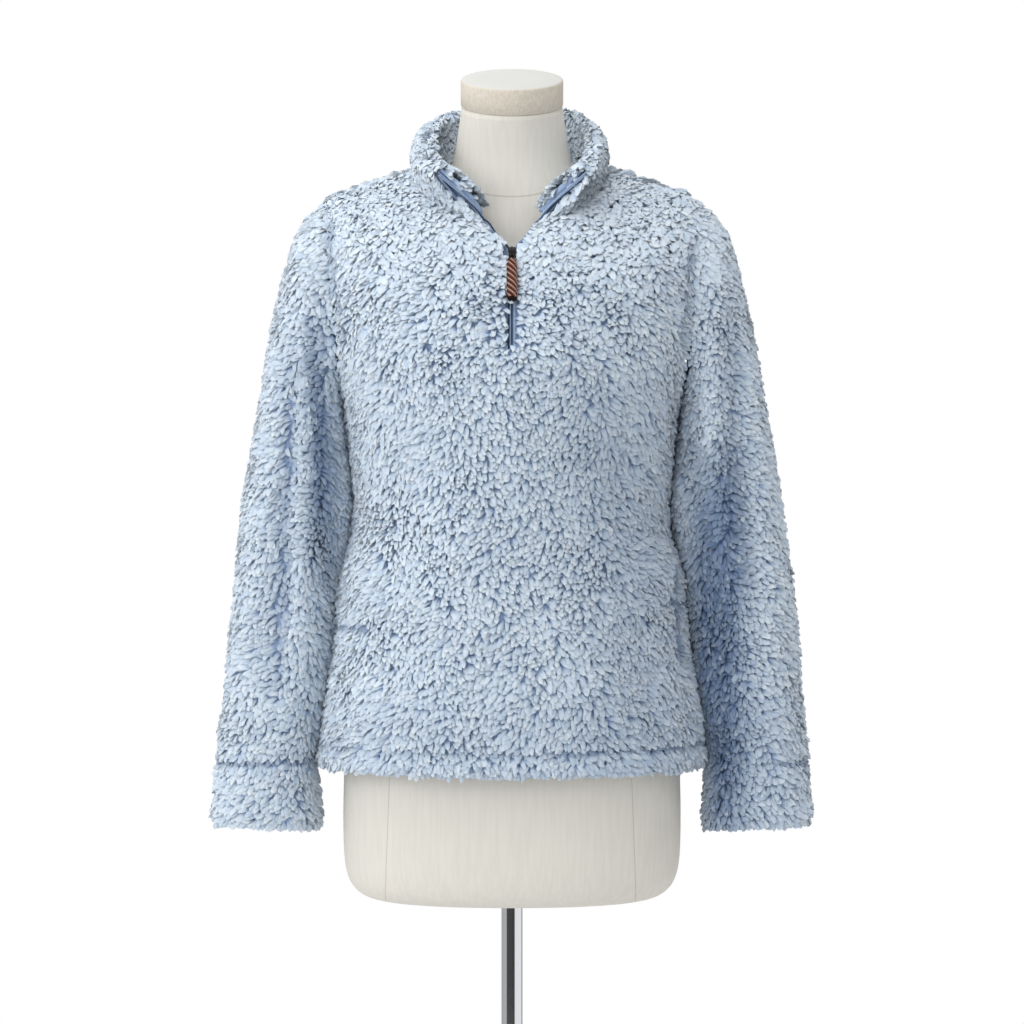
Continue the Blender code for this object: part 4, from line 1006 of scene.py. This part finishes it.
def dress_nodes():
    """Finishes for the CAD nodes that stay."""
    finishes = {
        "pole": metal_material("pole_chrome", (0.78, 0.79, 0.81), 0.08),
        "pole_hub": metal_material("hub_chrome", (0.78, 0.79, 0.81), 0.12),
        "base_plate": metal_material("base_chrome", (0.74, 0.75, 0.77), 0.16),
        "zip_tape_left": fabric_material("tape_left", (0.30, 0.41, 0.58), (0.40, 0.51, 0.67), 2600.0),
        "zip_tape_right": fabric_material("tape_right", (0.30, 0.41, 0.58), (0.40, 0.51, 0.67), 2600.0),
        "zip_slider": metal_material("slider_metal", (0.06, 0.055, 0.055), 0.35),
        "slider_bridge": metal_material("bridge_metal", (0.06, 0.055, 0.055), 0.30),
        "pull_link": metal_material("link_metal", (0.06, 0.055, 0.055), 0.30),
    }
    for name, material in finishes.items():
        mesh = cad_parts[name].data
        mesh.materials.clear()
        mesh.materials.append(material)


# Stage, light and camera


def make_stage():
    bpy.ops.mesh.primitive_circle_add(vertices=96, radius=1.35, fill_type="NGON", location=(0, 0, -0.0005))
    floor = bpy.context.object
    floor.name = "floor"
    m = Nodes("floor")
    place = m.add("TexCoord")
    grain = m.add("TexNoise", {"Vector": place.outputs["Object"]}, Scale=3.0, Detail=2.0)
    colour = m.ramp(grain.outputs["Fac"], ((0.2, (0.90, 0.90, 0.90)), (0.8, (0.92, 0.92, 0.92))))
    floor.data.materials.append(m.surface(colour, Roughness=0.9))


def area_light(name, place, target, size, power, colour=(1, 1, 1)):
    light = bpy.data.lights.new(name, "AREA")
    light.shape = "RECTANGLE"
    light.size, light.size_y = size
    light.energy = power
    light.color = colour
    obj = bpy.data.objects.new(name, light)
    obj.location = place
    obj.rotation_euler = (Vector(target) - Vector(place)).to_track_quat("-Z", "Y").to_euler()
    bpy.context.scene.collection.objects.link(obj)


def sky_strength(tree):
    """Even light that is strongest from the upper left and front."""
    heading = tree.nodes.new("ShaderNodeTexCoord")
    toward = tree.nodes.new("ShaderNodeVectorMath")
    toward.operation = "DOT_PRODUCT"
    toward.inputs[1].default_value = SKY_FROM
    strength = tree.nodes.new("ShaderNodeMath")
    strength.operation = "MULTIPLY_ADD"
    strength.inputs[1].default_value = SKY_LEAN
    strength.inputs[2].default_value = SKY_EVEN
    tree.links.new(heading.outputs["Generated"], toward.inputs[0])
    tree.links.new(toward.outputs["Value"], strength.inputs[0])
    return strength.outputs[0]


def mirrored_room(tree, paths, given):
    """What metal mirrors: a dark room behind the camera, a white panel to its right, grey walls."""
    heading = tree.nodes.new("ShaderNodeTexCoord")
    parts = tree.nodes.new("ShaderNodeSeparateXYZ")
    front = tree.nodes.new("ShaderNodeMath")
    front.operation = "MULTIPLY"
    front.inputs[1].default_value = -1.0
    bearing = tree.nodes.new("ShaderNodeMath")
    bearing.operation = "ARCTAN2"
    share = tree.nodes.new("ShaderNodeMapRange")
    share.inputs["From Min"].default_value = -math.pi
    share.inputs["From Max"].default_value = math.pi
    ramp = tree.nodes.new("ShaderNodeValToRGB")
    elements = ramp.color_ramp.elements
    for element, (bearing_turn, level) in zip(elements, ROOM_STOPS):
        element.position = bearing_turn / 360 + 0.5
        element.color = (level, level, level * 1.01, 1)
    for bearing_turn, level in ROOM_STOPS[2:]:
        elements.new(bearing_turn / 360 + 0.5).color = (level, level, level * 1.01, 1)
    room = tree.nodes.new("ShaderNodeBackground")
    chosen = tree.nodes.new("ShaderNodeMixShader")
    for source, target in (
        (heading.outputs["Generated"], parts.inputs[0]),
        (parts.outputs["Y"], front.inputs[0]),
        (parts.outputs["X"], bearing.inputs[0]),
        (front.outputs[0], bearing.inputs[1]),
        (bearing.outputs[0], share.inputs["Value"]),
        (share.outputs[0], ramp.inputs[0]),
        (ramp.outputs[0], room.inputs["Color"]),
        (paths.outputs["Is Glossy Ray"], chosen.inputs[0]),
        (given.outputs[0], chosen.inputs[1]),
        (room.outputs[0], chosen.inputs[2]),
    ):
        tree.links.new(source, target)
    return chosen.outputs[0]


def make_light():
    world = bpy.data.worlds.new("studio")
    bpy.context.scene.world = world
    world.use_nodes = True
    tree = world.node_tree
    paths = tree.nodes.new("ShaderNodeLightPath")
    seen = tree.nodes["Background"]
    seen.inputs["Color"].default_value = (1, 1, 1, 1)
    seen.inputs["Strength"].default_value = 1.0
    given = tree.nodes.new("ShaderNodeBackground")
    given.inputs["Color"].default_value = (0.98, 0.99, 1.0, 1)
    tree.links.new(sky_strength(tree), given.inputs["Strength"])
    both = tree.nodes.new("ShaderNodeMixShader")
    tree.links.new(paths.outputs["Is Camera Ray"], both.inputs[0])
    tree.links.new(mirrored_room(tree, paths, given), both.inputs[1])
    tree.links.new(seen.outputs[0], both.inputs[2])
    tree.links.new(both.outputs[0], tree.nodes["World Output"].inputs["Surface"])
    area_light("key", (-2.7, -1.9, 1.8), (0, 0, 0.85), (1.7, 1.7), 19)
    area_light("fill", (-0.6, -3.3, 1.7), (0, 0, 0.95), (1.8, 1.8), 8)
    area_light("top", (-0.5, -0.9, 3.2), (0, 0, 0.9), (1.8, 1.4), 12)
    area_light("side", (2.6, 0.9, 1.3), (0, 0, 0.85), (1.2, 1.8), 12)
    area_light("rim", (0.3, 2.2, 2.4), (0, 0, 0.9), (1.6, 1.0), 10)
    bpy.context.scene.view_settings.view_transform = "Standard"


def make_camera():
    camera = bpy.data.cameras.new("camera")
    camera.sensor_width = SENSOR_WIDTH
    camera.lens = SENSOR_WIDTH * CAMERA_AWAY / VIEW_WIDTH
    obj = bpy.data.objects.new("camera", camera)
    obj.location = (0, -CAMERA_AWAY, CAMERA_HEIGHT)
    obj.rotation_euler = (math.pi / 2, 0, 0)
    bpy.context.scene.collection.objects.link(obj)
    bpy.context.scene.camera = obj


make_camera()
edges = zip_edges()
make_jacket(zip_trees(edges))
make_zip(edges)
make_grip()
make_form()
make_cap()
dress_nodes()
make_stage()
make_light()
